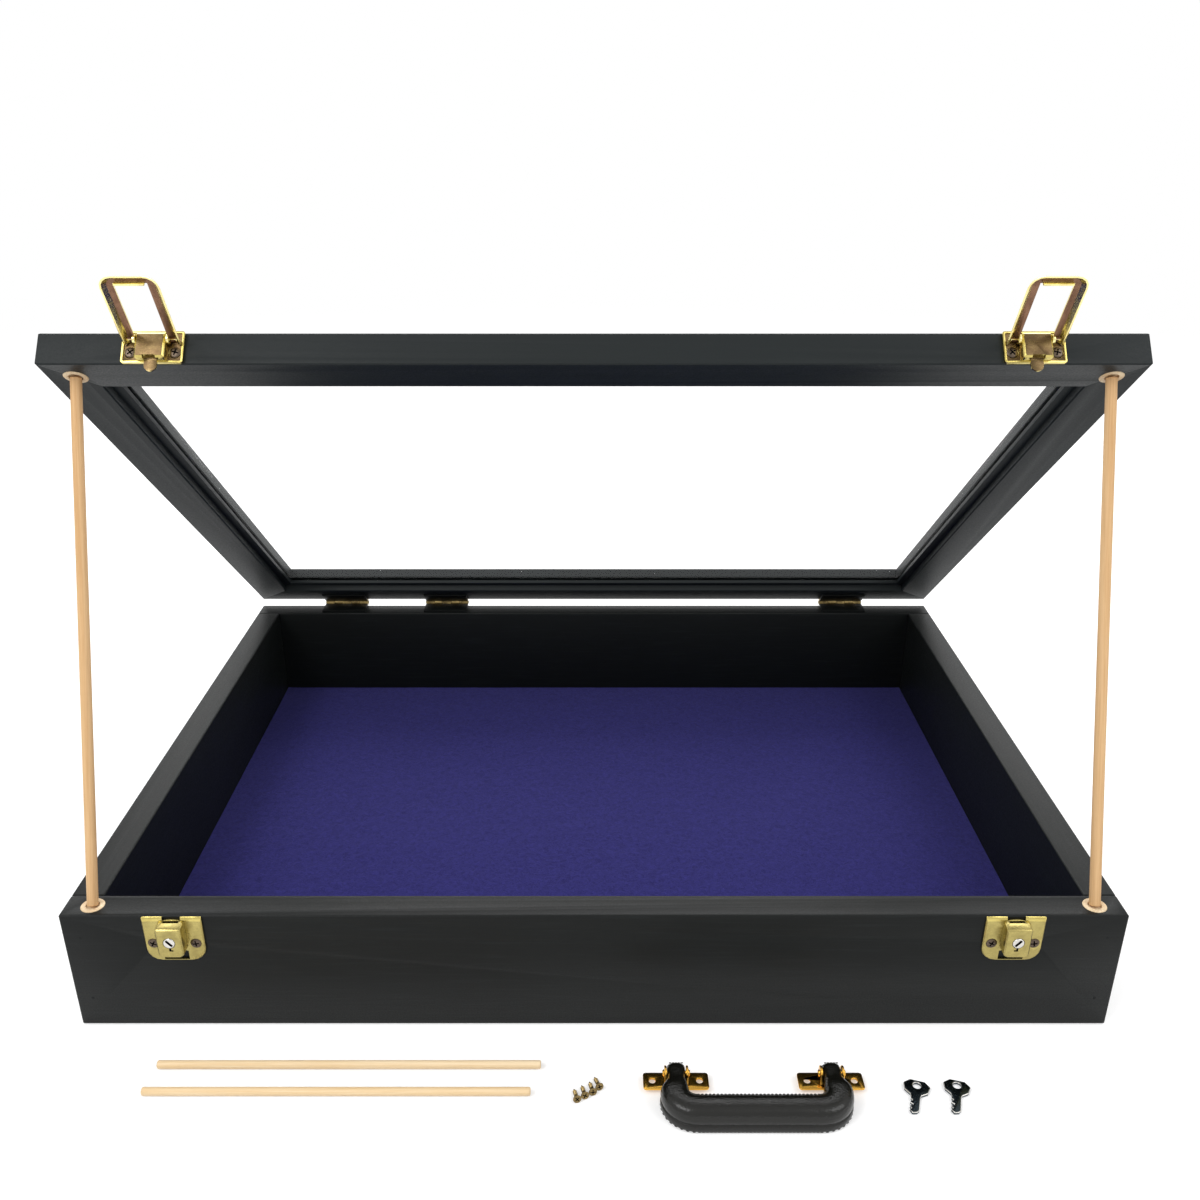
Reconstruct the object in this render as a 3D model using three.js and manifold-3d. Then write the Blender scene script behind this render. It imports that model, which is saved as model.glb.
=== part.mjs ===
// Arrowhead display box: a shallow wooden case with a felt floor and a glazed lid that two dowels
// prop open, with lockable draw latches, and the spare dowels, screws, handle and keys beside it.
// Millimetres. The origin is the middle of the underside, +X right, +Y to the hinges, +Z up.
import * as THREE from "three";
import { mergeVertices } from "three/addons/utils/BufferGeometryUtils.js";
import Module from "manifold-3d";

const wasm = await Module();
wasm.setup();

// Driving dimensions

const DEGREE = Math.PI / 180;
const seam = 0.1; // a glue line, or a face that rests on another
const running = 0.25; // clearance round what turns or slides

const CASE = { width: 609.6, depth: 457.2, height: 79.4, wall: 19.05, ease: 0.7 };
const BOTTOM = { thick: 3, letIn: 6, felt: 1.2, feltGap: 0.4 };

// The rail's width runs in from the lid's outer edge, its height up from the underside.
const PANE = { thick: 3, edgeGap: 0.6, play: 0.2 };
const LID = { thick: 19.05, rail: 27, ledge: 33, step: 5.5, groove: 8.3, grooveEnd: 24, ease: 0.7 };

// The leaves lie on the boards, so the pin runs half a gap above the case and behind its back.
const HINGE = { length: 38.6, gap: 3, behind: 1, leaf: 16, play: 0.25, knuckle: 3, knuckles: 5, pin: 1.4 };
const hingesFromLeft = [77, 169.4, CASE.width - 77.3];
const frontGap = 0.7; // the closed lid comes down this close to the front board

const PROP = { length: 300, radius: 3.175, fromEnd: 16.3, fromCaseFront: 9.5, fromLidFront: 15 };
const BUSH = { wall: 2.8, depth: 8, proud: 0.3, play: 0.775, socketDepth: 1.6 };

// Heights on the lock side are from the top of the case, and on the catch side from the lid's
// underside. Out is the distance in front of the board.
const LATCH = { fromEnd: 64.4 };
const SCREW = { head: 3.1, proud: 0.6, cone: 1.6, shank: 1.35, short: 6, slot: 0.9 };
const SCREW_AT = { spread: 12.2, onLock: -18.2, onCatch: 6.2 };
const LOCK_PLATE = { half: 17.1, top: -0.4, bottom: -30.6, corner: 8.5, thick: 1.6, flange: 2.4 };
const HOUSING = { half: 7.25, top: -2.4, bottom: -22.8, out: 9.1, wall: 1.2, corner: 3, edge: 0.8 };
const PLUG = { height: -12.4, radius: 3.3, flange: 4, proud: 0.3, crank: 1.8, crankPin: 0.6, turn: 90 };
const KEY_SLOT = { half: 0.75, reach: 2.5, depth: 3.2, lean: -40 };
const BOLT = { half: 3, thick: 1.1, sheet: 1.4, bridgeThick: 1.4, below: 0.6, yokeOut: 2.6 };
const CATCH = { half: 16.9, inset: 0.15, thick: 1.2, rim: 0.8, rimWide: 1.1, corner: 1.2 };
const CAP = { half: 8.2, bottom: 1, inset: 3.45, out: 7, edge: 1 };
const TONGUE = { half: 3.5, drop: 5.4, from: 2, to: 3, root: 2.4 };
const BAIL = { pivot: 12.6, pivotOut: 4.5, stud: 1.2, slack: 0.8, play: 0.8 };
const BAIL_SHEET = { face: 1.8, thick: 1, edge: -1.3, corner: 5.5, end: 2.7, hook: 2.2 };
const BAIL_RIM = { bar: 5.9, leg: 4.6, flare: 2.1 };
const BAIL_EAR = { radius: 2.6, thick: 1.4 };
const bailLean = 70; // degrees from the lid's face, as it stands in the photograph

const LOOSE_DOWEL = { radius: 2.38 };
const DOWEL_REAR = { length: 218, x: -139, fromFront: 35 };
const DOWEL_FRONT = { length: 215, x: -142.5, fromFront: 55 };

const GRIP = { x: 89, fromFront: 43.8, reach: 30.5, legs: 43.2, spread: 44.8, bend: 11.5 };
const GRIP_WIDE = { bar: 16.5, leg: 9 };
const GRIP_NECK = { straight: 7, swellFrom: 9.5, swellTo: 18 };
const GRIP_HEIGHT = { bar: 15, end: 9, pin: 9.2, pinFromEnd: 4.5 };
const BRACKET = { half: 18.3, height: 12, sheet: 1.2, hole: 1.9, holeAt: 13.2, play: 0.9, behind: 1.2 };
const bracketEar = 4; // radius of the ear's end round the rivet
const RIVET = { radius: 1.3, head: 2.1, headThick: 0.8 };

const KEY = { thick: 1.8, bow: 7.4, bowLong: 11, neck: 3, blade: 2.6, length: 24.5, hole: 2.3, ease: 0.3 };
const keys = [
  { name: "key_left", x: 177.5, fromFront: 58, turn: -18 },
  { name: "key_right", x: 200, fromFront: 58, turn: -17 },
];

const SMALL_SCREW = { head: 2.4, cone: 1.7, shank: 1.15, length: 9.5, slot: 0.6 };
const looseScrews = [
  { x: -8.8, fromFront: 60.2, heading: 285 },
  { x: -4.5, fromFront: 57.6, heading: 285 },
  { x: -0.2, fromFront: 55, heading: 285 },
  { x: 3.4, fromFront: 51.2, heading: 290 },
];

// Places worked out from the dimensions

const innerHalf = CASE.width / 2 - CASE.wall;
const innerHalfDepth = CASE.depth / 2 - CASE.wall;
const front = -CASE.depth / 2;
const setback = HINGE.knuckle + HINGE.behind; // from the case's back to the pin
const pinY = CASE.depth / 2 + setback;
const pinZ = CASE.height + HINGE.gap / 2;
const lidUnder = HINGE.gap / 2; // the lid's own frame turns on the pin
const lidFront = -setback - CASE.depth;
const fromMiddle = (fromEnd) => CASE.width / 2 - fromEnd;
const socketRadius = PROP.radius + BUSH.play;
const bushRadius = socketRadius + BUSH.wall;

// The props are the third side of a triangle whose corner is the hinge pin, so their length sets
// how far the lid stands open.
const propFoot = { y: front + PROP.fromCaseFront - pinY, z: -HINGE.gap / 2 };
const propHead = { y: lidFront + PROP.fromLidFront, z: lidUnder };
const footReach = Math.hypot(propFoot.y, propFoot.z);
const headReach = Math.hypot(propHead.y, propHead.z);
const cornerAngle = Math.acos(
  (footReach ** 2 + headReach ** 2 - PROP.length ** 2) / (2 * footReach * headReach),
);
const openAngle = cornerAngle - Math.atan2(propHead.z, -propHead.y) + Math.atan2(propFoot.z, -propFoot.y);

// Finishes

const finish = (color, roughness, metalness = 0) =>
  new THREE.MeshStandardMaterial({ color, roughness, metalness });
const blackPaint = finish(0x23282a, 0.5);
const felt = finish(0x2d2763, 0.95);
const acrylic = new THREE.MeshStandardMaterial({
  color: 0xf4f8f8,
  roughness: 0.05,
  transparent: true,
  opacity: 0.25,
});
const birch = finish(0xe3c08f, 0.6);
const brass = finish(0xc4b160, 0.3, 1);
const brownedSteel = finish(0x6b5548, 0.4, 1);
const silver = finish(0xcfcfcd, 0.25, 1);
const gilt = finish(0xd9a93c, 0.2, 1);
const leatherette = finish(0x1b1c1b, 0.35);
const darkSteel = finish(0x5b6166, 0.3, 1);

// Solids: closing, joining and cutting

function solid(geometry) {
  const bare = geometry.index ? geometry.toNonIndexed() : geometry.clone();
  bare.deleteAttribute("normal");
  bare.deleteAttribute("uv");
  const merged = mergeVertices(bare, 1e-4);
  const vertProperties = merged.attributes.position.array;
  return new wasm.Manifold(
    new wasm.Mesh({ numProp: 3, vertProperties, triVerts: new Uint32Array(merged.index.array) }),
  );
}

function geometryOf(body) {
  const { vertProperties, triVerts } = body.getMesh();
  const geometry = new THREE.BufferGeometry();
  geometry.setAttribute("position", new THREE.BufferAttribute(vertProperties, 3));
  geometry.setIndex(new THREE.BufferAttribute(triVerts, 1));
  geometry.computeVertexNormals();
  return geometry;
}

const join = (first, ...more) =>
  geometryOf(more.reduce((whole, next) => whole.add(solid(next)), solid(first)));
const cut = (first, ...tools) =>
  geometryOf(tools.reduce((rest, tool) => rest.subtract(solid(tool)), solid(first)));

// Cuts tools that are placed in the parent's frame out of a mesh that may be moved and turned in it.
function carve(mesh, ...tools) {
  mesh.updateMatrix();
  const inverse = mesh.matrix.clone().invert();
  mesh.geometry = cut(mesh.geometry, ...tools.map((tool) => tool.clone().applyMatrix4(inverse)));
}

function piece(parent, name, geometry, material, [x, y, z] = [0, 0, 0]) {
  const mesh = new THREE.Mesh(geometry, material);
  mesh.name = name;
  mesh.position.set(x, y, z);
  parent.add(mesh);
  return mesh;
}

function groupAt(parent, x, y, z) {
  const group = new THREE.Group();
  group.position.set(x, y, z);
  parent.add(group);
  return group;
}

// Forms

const block = (x0, x1, y0, y1, z0, z1) =>
  new THREE.BoxGeometry(x1 - x0, y1 - y0, z1 - z0).translate((x0 + x1) / 2, (y0 + y1) / 2, (z0 + z1) / 2);
const rodX = (radius, length, sides = 20) =>
  new THREE.CylinderGeometry(radius, radius, length, sides).rotateZ(Math.PI / 2);
const rodY = (radius, length, sides = 20) => new THREE.CylinderGeometry(radius, radius, length, sides);

// A board with its twelve edges eased.
function board(width, depth, height, ease) {
  const [x, y] = [width / 2, depth / 2];
  const outline = new THREE.Shape([
    new THREE.Vector2(x - ease, -y),
    new THREE.Vector2(x, -y + ease),
    new THREE.Vector2(x, y - ease),
    new THREE.Vector2(x - ease, y),
    new THREE.Vector2(-x + ease, y),
    new THREE.Vector2(-x, y - ease),
    new THREE.Vector2(-x, -y + ease),
    new THREE.Vector2(-x + ease, -y),
  ]);
  const bevel = { bevelThickness: ease, bevelSize: ease, bevelOffset: -ease, bevelSegments: 1 };
  const extruded = new THREE.ExtrudeGeometry(outline, { depth: height - 2 * ease, ...bevel });
  return extruded.translate(0, 0, ease - height / 2);
}

// A turned form about Z from [radius, height] pairs that start and end on the axis, going up.
const turned = (profile, sides = 20) =>
  new THREE.LatheGeometry(
    profile.map(([r, h]) => new THREE.Vector2(r, h)),
    sides,
  ).rotateX(Math.PI / 2);

// Skins rings of points, one after another, and closes both ends.
function loft(rings) {
  const count = rings[0].length;
  const positions = rings.flat().flatMap((p) => [p.x, p.y, p.z]);
  const faces = [];
  for (let r = 0; r + 1 < rings.length; r++) {
    for (let i = 0; i < count; i++) {
      const [a, b] = [r * count + i, r * count + ((i + 1) % count)];
      faces.push(a, b, b + count, a, b + count, a + count);
    }
  }
  const capOf = (ring) => {
    const normal = new THREE.Vector3();
    ring.forEach((p, i) => normal.add(p.clone().cross(ring[(i + 1) % count])));
    const turn = new THREE.Quaternion().setFromUnitVectors(normal.normalize(), new THREE.Vector3(0, 0, 1));
    const flat = ring.map((p) => p.clone().applyQuaternion(turn)).map((p) => new THREE.Vector2(p.x, p.y));
    return THREE.ShapeUtils.triangulateShape(flat, []);
  };
  const last = (rings.length - 1) * count;
  capOf(rings[0]).forEach(([a, b, c]) => faces.push(a, c, b));
  capOf(rings.at(-1)).forEach(([a, b, c]) => faces.push(last + a, last + b, last + c));
  const geometry = new THREE.BufferGeometry();
  geometry.setAttribute("position", new THREE.Float32BufferAttribute(positions, 3));
  geometry.setIndex(faces);
  if (signedVolume(geometry) < 0) geometry.index.array.reverse();
  return geometry;
}

function signedVolume(geometry) {
  const corner = (i) => new THREE.Vector3().fromBufferAttribute(geometry.attributes.position, i);
  const index = geometry.index.array;
  let volume = 0;
  for (let i = 0; i < index.length; i += 3)
    volume += corner(index[i]).dot(corner(index[i + 1]).cross(corner(index[i + 2])));
  return volume / 6;
}

// The outline of a plate on a front face, as [x, z] points: square at the top, or rounded all round.
function plateOutline(half, bottom, top, bottomCorner, topCorner = 0.6, steps = 4) {
  const corners = [
    [half - bottomCorner, bottom + bottomCorner, bottomCorner, -90],
    [half - topCorner, top - topCorner, topCorner, 0],
    [-half + topCorner, top - topCorner, topCorner, 90],
    [-half + bottomCorner, bottom + bottomCorner, bottomCorner, 180],
  ];
  const round = ([x, z, radius, from]) =>
    Array.from({ length: steps + 1 }, (_, i) => {
      const angle = (from + (90 * i) / steps) * DEGREE;
      return [x + radius * Math.cos(angle), z + radius * Math.sin(angle)];
    });
  return corners.flatMap(round);
}

// Pressed sheet on a front face: each [outline, out] pair is an outline and its distance out.
const pressed = (...sections) =>
  loft(sections.map(([outline, out]) => outline.map(([x, z]) => new THREE.Vector3(x, -out, z))));

// Wood screw, head up along +Z with the head's rim at height 0.
function screwForm({ head, proud = 0.4, cone, shank, length }, grown = 0, sides = 12) {
  const tip = 2.5;
  return turned(
    [
      [0, -length - grown],
      [shank + grown, -length + tip],
      [shank + grown, -cone],
      [head + grown, 0],
      [head * 0.7 + grown, proud * 0.8 + grown],
      [0, proud + grown],
    ],
    sides,
  );
}

function crossSlotted(screw, { head, proud = 0.4, slot }) {
  const arm = head * 0.62;
  const depth = 1;
  const bars = [
    block(-arm, arm, -slot / 2, slot / 2, proud - depth, proud + 1),
    block(-slot / 2, slot / 2, -arm, arm, proud - depth, proud + 1),
  ];
  return cut(screw, ...bars);
}

// The case

const displayBox = new THREE.Group();
const caseGroup = groupAt(displayBox, 0, 0, 0);

const panelHalf = innerHalf + BOTTOM.letIn;
const panelHalfDepth = innerHalfDepth + BOTTOM.letIn;
const panelRabbet = block(
  -panelHalf - seam,
  panelHalf + seam,
  -panelHalfDepth - seam,
  panelHalfDepth + seam,
  -1,
  BOTTOM.thick + seam,
);

const sideLength = CASE.depth - 2 * CASE.wall - 2 * seam;
const boards = {
  case_front: [CASE.width, CASE.wall, 0, front + CASE.wall / 2],
  case_back: [CASE.width, CASE.wall, 0, -front - CASE.wall / 2],
  case_left: [CASE.wall, sideLength, -CASE.width / 2 + CASE.wall / 2, 0],
  case_right: [CASE.wall, sideLength, CASE.width / 2 - CASE.wall / 2, 0],
};
const walls = {};
for (const [name, [width, depth, x, y]] of Object.entries(boards)) {
  const shape = board(width, depth, CASE.height, CASE.ease);
  walls[name] = piece(caseGroup, name, shape, blackPaint, [x, y, CASE.height / 2]);
  carve(walls[name], panelRabbet);
}
const panel = block(-panelHalf, panelHalf, -panelHalfDepth, panelHalfDepth, 0, BOTTOM.thick);
piece(caseGroup, "bottom_panel", panel, blackPaint);
const feltHalf = innerHalf - BOTTOM.feltGap;
const feltHalfDepth = innerHalfDepth - BOTTOM.feltGap;
const feltSheet = block(-feltHalf, feltHalf, -feltHalfDepth, feltHalfDepth, 0, BOTTOM.felt);
piece(caseGroup, "felt_liner", feltSheet, felt, [0, 0, BOTTOM.thick + seam]);

// The lid: four mitred rails round an acrylic pane, turned open about the hinge pins

const lidGroup = groupAt(displayBox, 0, pinY, pinZ);
lidGroup.rotation.x = -openAngle;

// A rail along X with its outer edge at y 0: every point of the profile stops on the mitre.
function mitredRail(length) {
  const { thick, rail, ledge, step, groove, grooveEnd, ease } = LID;
  const grooveTop = groove + PANE.thick + PANE.play;
  const profile = [
    [ease, 0],
    [rail - ease, 0],
    [rail, ease],
    [rail, step],
    [ledge, step],
    [ledge, groove],
    [grooveEnd, groove],
    [grooveEnd, grooveTop],
    [ledge, grooveTop],
    [ledge, thick - ease],
    [ledge - ease, thick],
    [ease, thick],
    [0, thick - ease],
    [0, ease],
  ];
  const end = (side) => profile.map(([u, v]) => new THREE.Vector3(side * (length / 2 - u - seam), u, v));
  return loft([end(-1), end(1)]);
}

const rails = {};
const railPlaces = {
  lid_front: [CASE.width, 0, lidFront, 0],
  lid_back: [CASE.width, 0, -setback, Math.PI],
  lid_left: [CASE.depth, -CASE.width / 2, -setback - CASE.depth / 2, -Math.PI / 2],
  lid_right: [CASE.depth, CASE.width / 2, -setback - CASE.depth / 2, Math.PI / 2],
};
for (const [name, [length, x, y, turn]] of Object.entries(railPlaces)) {
  rails[name] = piece(lidGroup, name, mitredRail(length), blackPaint, [x, y, lidUnder]);
  rails[name].rotation.z = turn;
}
const paneInset = LID.grooveEnd + PANE.edgeGap;
const pane = block(
  paneInset - CASE.width / 2,
  CASE.width / 2 - paneInset,
  paneInset - CASE.depth / 2,
  CASE.depth / 2 - paneInset,
  0,
  PANE.thick,
);
const paneHeight = lidUnder + LID.groove + PANE.play / 2;
piece(lidGroup, "lid_pane", pane, acrylic, [0, -setback - CASE.depth / 2, paneHeight]);

// Butt hinges: a leaf under the lid and a leaf on the case, with their knuckles taking turns

function hingeLeaf(onCase) {
  const { length, gap, leaf, play, knuckle, knuckles, pin } = HINGE;
  const sheet = gap / 2 - seam - play;
  const low = onCase ? -gap / 2 + seam : play;
  const ringGap = 0.4;
  const plate = block(-length / 2, length / 2, -setback - leaf, -knuckle - ringGap, low, low + sheet);
  const pitch = length / knuckles;
  const parts = [plate];
  for (let i = onCase ? 0 : 1; i < knuckles; i += 2) {
    const middle = -length / 2 + (i + 0.5) * pitch;
    const half = pitch / 2 - running / 2;
    parts.push(rodX(knuckle, 2 * half, 18).translate(middle, 0, 0));
    parts.push(block(middle - half, middle + half, -knuckle - 2 * ringGap, -pin, low, low + sheet));
  }
  return cut(join(...parts), rodX(pin + running, length + 2, 12));
}

// The pin's ends are peened over a little, short of the knuckles' rim.
function hingePin() {
  const half = HINGE.length / 2;
  const dome = 0.6;
  const profile = [
    [0, -half - dome],
    [HINGE.pin * 0.8, -half - dome * 0.6],
    [HINGE.pin, -half],
    [HINGE.pin, half],
    [HINGE.pin * 0.8, half + dome * 0.6],
    [0, half + dome],
  ];
  return turned(profile, 12).rotateY(Math.PI / 2);
}

hingesFromLeft.forEach((fromLeft, i) => {
  const x = fromLeft - CASE.width / 2;
  piece(caseGroup, `hinge_${i + 1}_case_leaf`, hingeLeaf(true), brass, [x, pinY, pinZ]);
  piece(lidGroup, `hinge_${i + 1}_lid_leaf`, hingeLeaf(false), brass, [x, 0, 0]);
  piece(caseGroup, `hinge_${i + 1}_pin`, hingePin(), brass, [x, pinY, pinZ]);
});

// Props: a dowel each side between two dished bushes, let into the front board and the lid's corners

const bushForm = () =>
  turned([
    [0, -BUSH.depth],
    [bushRadius, -BUSH.depth],
    [bushRadius, 0],
    [bushRadius - BUSH.proud, BUSH.proud],
    [socketRadius, BUSH.proud],
    [socketRadius, BUSH.proud - BUSH.socketDepth],
    [0, BUSH.proud - BUSH.socketDepth],
  ]);
const bushBore = () =>
  turned([
    [0, -BUSH.depth - seam],
    [bushRadius + seam, -BUSH.depth - seam],
    [bushRadius + seam, BUSH.proud],
    [0, BUSH.proud],
  ]);

function propForm() {
  const { radius, length } = PROP;
  const chamfer = 0.5;
  return turned(
    [
      [0, 0],
      [radius - chamfer, 0],
      [radius, chamfer],
      [radius, length - chamfer],
      [radius - chamfer, length],
      [0, length],
    ],
    16,
  );
}

const footY = front + PROP.fromCaseFront;
const headY = pinY + propHead.y * Math.cos(openAngle) + propHead.z * Math.sin(openAngle);
const headZ = pinZ - propHead.y * Math.sin(openAngle) + propHead.z * Math.cos(openAngle);
const propTilt = Math.atan2(headY - footY, headZ - CASE.height);

for (const [side, hand] of [
  ["left", -1],
  ["right", 1],
]) {
  const x = hand * fromMiddle(PROP.fromEnd);
  const caseSeat = [x, footY, CASE.height];
  carve(walls.case_front, bushBore().translate(...caseSeat));
  piece(caseGroup, `case_bush_${side}`, bushForm(), birch, caseSeat);

  const lidSeat = [x, propHead.y, lidUnder];
  const facingDown = (form) => form.rotateX(Math.PI);
  for (const rail of [rails.lid_front, rails[`lid_${side}`]])
    carve(rail, facingDown(bushBore()).translate(...lidSeat));
  piece(lidGroup, `lid_bush_${side}`, facingDown(bushForm()), birch, lidSeat);

  const prop = piece(displayBox, `prop_${side}`, propForm(), birch, caseSeat);
  prop.rotation.x = -propTilt;
}

// Draw latches: a lock plate on the case, a catch plate and bail on the lid

const facingFront = (form) => form.rotateX(Math.PI / 2);
const screwSize = { ...SCREW, length: CASE.wall - SCREW.short };
const screwBody = (grown) => facingFront(screwForm(screwSize, grown));
const latchScrew = () => facingFront(crossSlotted(screwForm(screwSize), SCREW));

function lockPlate() {
  const { half, top, bottom, corner, thick, flange } = LOCK_PLATE;
  const edge = 0.7;
  const shell = pressed(
    [plateOutline(half, bottom, top, corner), seam],
    [plateOutline(half, bottom, top, corner), thick - edge],
    [plateOutline(half - edge, bottom + edge, top - flange, corner - edge), thick],
  );
  const notchHalf = TONGUE.half + 1.7;
  const arch = Array.from({ length: 9 }, (_, i) => {
    const angle = (180 - (180 * i) / 8) * DEGREE;
    return [notchHalf * Math.cos(angle), top - flange + 0.9 * Math.sin(angle)];
  });
  const notchOutline = [...arch, [notchHalf, top + 1], [-notchHalf, top + 1]];
  const notch = pressed([notchOutline, -1], [notchOutline, thick + 1]);
  const hookSlot = block(-6.2, 6.2, -thick - 1, 1, HOUSING.bottom - 2.4, HOUSING.bottom - 0.4);
  return cut(shell, notch, hookSlot);
}

function lockHousing(hand) {
  const { half, top, bottom, out, wall, corner, edge } = HOUSING;
  const back = LOCK_PLATE.thick + seam;
  const slope = 0.9; // the top falls this much towards the front
  const shell = pressed(
    [plateOutline(half, bottom, top, corner, edge), back],
    [plateOutline(half, bottom, top - slope, corner, edge), out - edge],
    [plateOutline(half - edge, bottom + edge, top - slope - edge, corner - edge, edge), out],
  );
  const inner = half - wall;
  const cavity = block(-inner, inner, -(out - wall), 0, bottom + wall, top - slope - wall);
  const tongueSlot = block(-TONGUE.half - 1, TONGUE.half + 1, -TONGUE.to - 0.4, 0, bottom + wall, top + 1);
  const boltSlot = block(
    -BOLT.half - running,
    BOLT.half + running,
    -(out - wall) - 0.01,
    -(out - wall) + BOLT.thick + 2 * running,
    bottom - 1,
    bottom + wall + 1,
  );
  const plugHole = rodY(PLUG.radius + running, 2 * wall + 2, 24).translate(0, -out, PLUG.height);
  const keywayEnd = PLUG.height - PLUG.radius - 2.3;
  const across = (from, to) => (hand < 0 ? [from, to] : [-to, -from]);
  const keyway = block(...across(-0.5, 0.7), -out - 1, -out + wall + 0.5, keywayEnd, PLUG.height - 2);
  const keywayFoot = block(...across(0.5, 1.8), -out - 1, -out + wall + 0.5, keywayEnd, keywayEnd + 0.9);
  return cut(shell, cavity, tongueSlot, boltSlot, plugHole, keyway, keywayFoot);
}

// The plug has a flange behind the housing's front and an offset pin at its tail that works the bolt.
const crankAngle = (PLUG.turn / 2) * DEGREE;
const plugTail = 4.4;
function lockPlug(hand) {
  const face = HOUSING.out + PLUG.proud;
  const flangeOut = HOUSING.out - HOUSING.wall - running;
  const body = turned(
    [
      [0, plugTail],
      [PLUG.radius, plugTail],
      [PLUG.radius, flangeOut - 1],
      [PLUG.flange, flangeOut - 1],
      [PLUG.flange, flangeOut],
      [PLUG.radius, flangeOut],
      [PLUG.radius, face - 0.3],
      [PLUG.radius - 0.3, face],
      [0, face],
    ],
    24,
  ).rotateX(Math.PI / 2);
  const crankX = PLUG.crank * Math.cos(crankAngle);
  const crankZ = PLUG.crank * Math.sin(crankAngle);
  const pinFrom = BOLT.yokeOut + 0.3;
  const pinLength = plugTail + 0.5 - pinFrom;
  const crankPin = rodY(PLUG.crankPin, pinLength, 10).translate(crankX, -pinFrom - pinLength / 2, crankZ);
  const { half, reach, depth, lean } = KEY_SLOT;
  const keySlot = block(-half, half, -face - 1, -face + depth, -reach, reach).rotateY(-hand * lean * DEGREE);
  return cut(join(body, crankPin), keySlot);
}

// The bolt: a yoke that the plug's pin lifts and lowers, and a tongue that drops in front of the bail
const boltTravel = 2 * PLUG.crank * Math.sin(crankAngle);
function lockBolt() {
  const { half, thick, sheet, bridgeThick, below, yokeOut } = BOLT;
  const reach = PLUG.crankPin + running;
  const slotMiddle = PLUG.height + boltTravel / 2;
  const yokeTop = slotMiddle + reach + 1;
  const bridge = PLUG.height - PLUG.flange - below - bridgeThick;
  const tongueOut = HOUSING.out - HOUSING.wall - running;
  const yokeHalf = HOUSING.half - HOUSING.wall - running;
  const bridgeTop = bridge + bridgeThick;
  const tongue = block(-half, half, -tongueOut, -tongueOut + thick, HOUSING.bottom + 0.2, bridgeTop);
  const bridgeBar = block(-half, half, -tongueOut, -yokeOut, bridge, bridgeTop);
  const yoke = block(-yokeHalf, yokeHalf, -yokeOut - sheet, -yokeOut, bridge, yokeTop);
  const yokeSlot = block(
    PLUG.crank * Math.cos(crankAngle) - reach,
    PLUG.crank + reach,
    -yokeOut - sheet - 1,
    -yokeOut + 1,
    slotMiddle - reach,
    slotMiddle + reach,
  );
  return cut(join(tongue, bridgeBar, yoke), yokeSlot);
}

function catchPlate() {
  const { half, inset, thick, rim, rimWide, corner } = CATCH;
  const [bottom, top] = [inset, LID.thick - inset];
  const capTop = LID.thick - CAP.inset;
  const rimOut = thick + rim;
  const pan = cut(
    pressed(
      [plateOutline(half, bottom, top, corner, corner), seam],
      [plateOutline(half, bottom, top, corner, corner), rimOut],
    ),
    pressed(
      [plateOutline(half - rimWide, bottom + rimWide, top - rimWide, corner / 2, corner / 2), thick],
      [plateOutline(half - rimWide, bottom + rimWide, top - rimWide, corner / 2, corner / 2), rimOut + 1],
    ),
  );
  const capSide = plateOutline(CAP.half, CAP.bottom, capTop, CAP.edge, CAP.edge);
  const capFace = plateOutline(
    CAP.half - CAP.edge,
    CAP.bottom + CAP.edge,
    capTop - CAP.edge,
    CAP.edge / 2,
    CAP.edge / 2,
  );
  const cap = pressed([capSide, thick / 2], [capSide, CAP.out - CAP.edge], [capFace, CAP.out]);
  const capNotch = block(-TONGUE.half, TONGUE.half, -CAP.out - 1, -TONGUE.to - 0.2, 0, TONGUE.root);
  const round = Array.from({ length: 13 }, (_, i) => {
    const angle = (180 + 15 * i) * DEGREE;
    return [TONGUE.half * Math.cos(angle), TONGUE.half - TONGUE.drop + TONGUE.half * Math.sin(angle)];
  });
  const tongueOutline = [...round, [TONGUE.half, TONGUE.root], [-TONGUE.half, TONGUE.root]];
  const tongue = pressed([tongueOutline, TONGUE.from], [tongueOutline, TONGUE.to]);
  const studs = rodX(BAIL.stud, 2 * (CAP.half + 2 * running + BAIL_EAR.thick), 14);
  return join(cut(join(pan, cap), capNotch), tongue, studs.translate(0, -BAIL.pivotOut, BAIL.pivot));
}

// The bail hangs from its pivot, down along -Z: a pressed U with flared edges, an ear on each stud
// and a folded lip on the crossbar that hooks under the lock's housing once the lid is shut.
const bailInner = BAIL.pivot + frontGap - HOUSING.bottom + BAIL.slack;
function bailForm() {
  const { face, thick, edge, corner, end, hook } = BAIL_SHEET;
  const over = 8;
  const window = CAP.half + BAIL.play;
  const web = window + BAIL_RIM.leg;
  const skirt = (grow, inset) =>
    plateOutline(
      web + grow - inset,
      -(bailInner + BAIL_RIM.bar - BAIL_RIM.flare) - grow + inset,
      over,
      corner + grow - inset,
      corner,
    );
  const shell = pressed([skirt(BAIL_RIM.flare, 0), edge], [skirt(0, 0), face]);
  const within = 0.2;
  const hollow = pressed(
    [skirt(BAIL_RIM.flare + within, thick), edge - within],
    [skirt(0, thick), face - thick],
  );
  const pivotEnd = block(-web - 9, web + 9, -face - 1, -edge + 1, end, over + 1);
  const opening = block(-window, window, -face - 1, -edge + 1, -bailInner, over + 2);
  const lip = block(-window + 1, window - 1, -face, -face + thick + hook, -bailInner - thick, -bailInner);
  const earAt = CAP.half + running + BAIL_EAR.thick / 2;
  const ear = rodX(BAIL_EAR.radius, BAIL_EAR.thick, 16);
  const ears = [-1, 1].map((hand) => ear.clone().translate(hand * earAt, 0, 0));
  const body = join(cut(shell, hollow, pivotEnd, opening), lip, ...ears);
  return cut(body, rodX(BAIL.stud + running / 2, 2 * web, 14));
}

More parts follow.
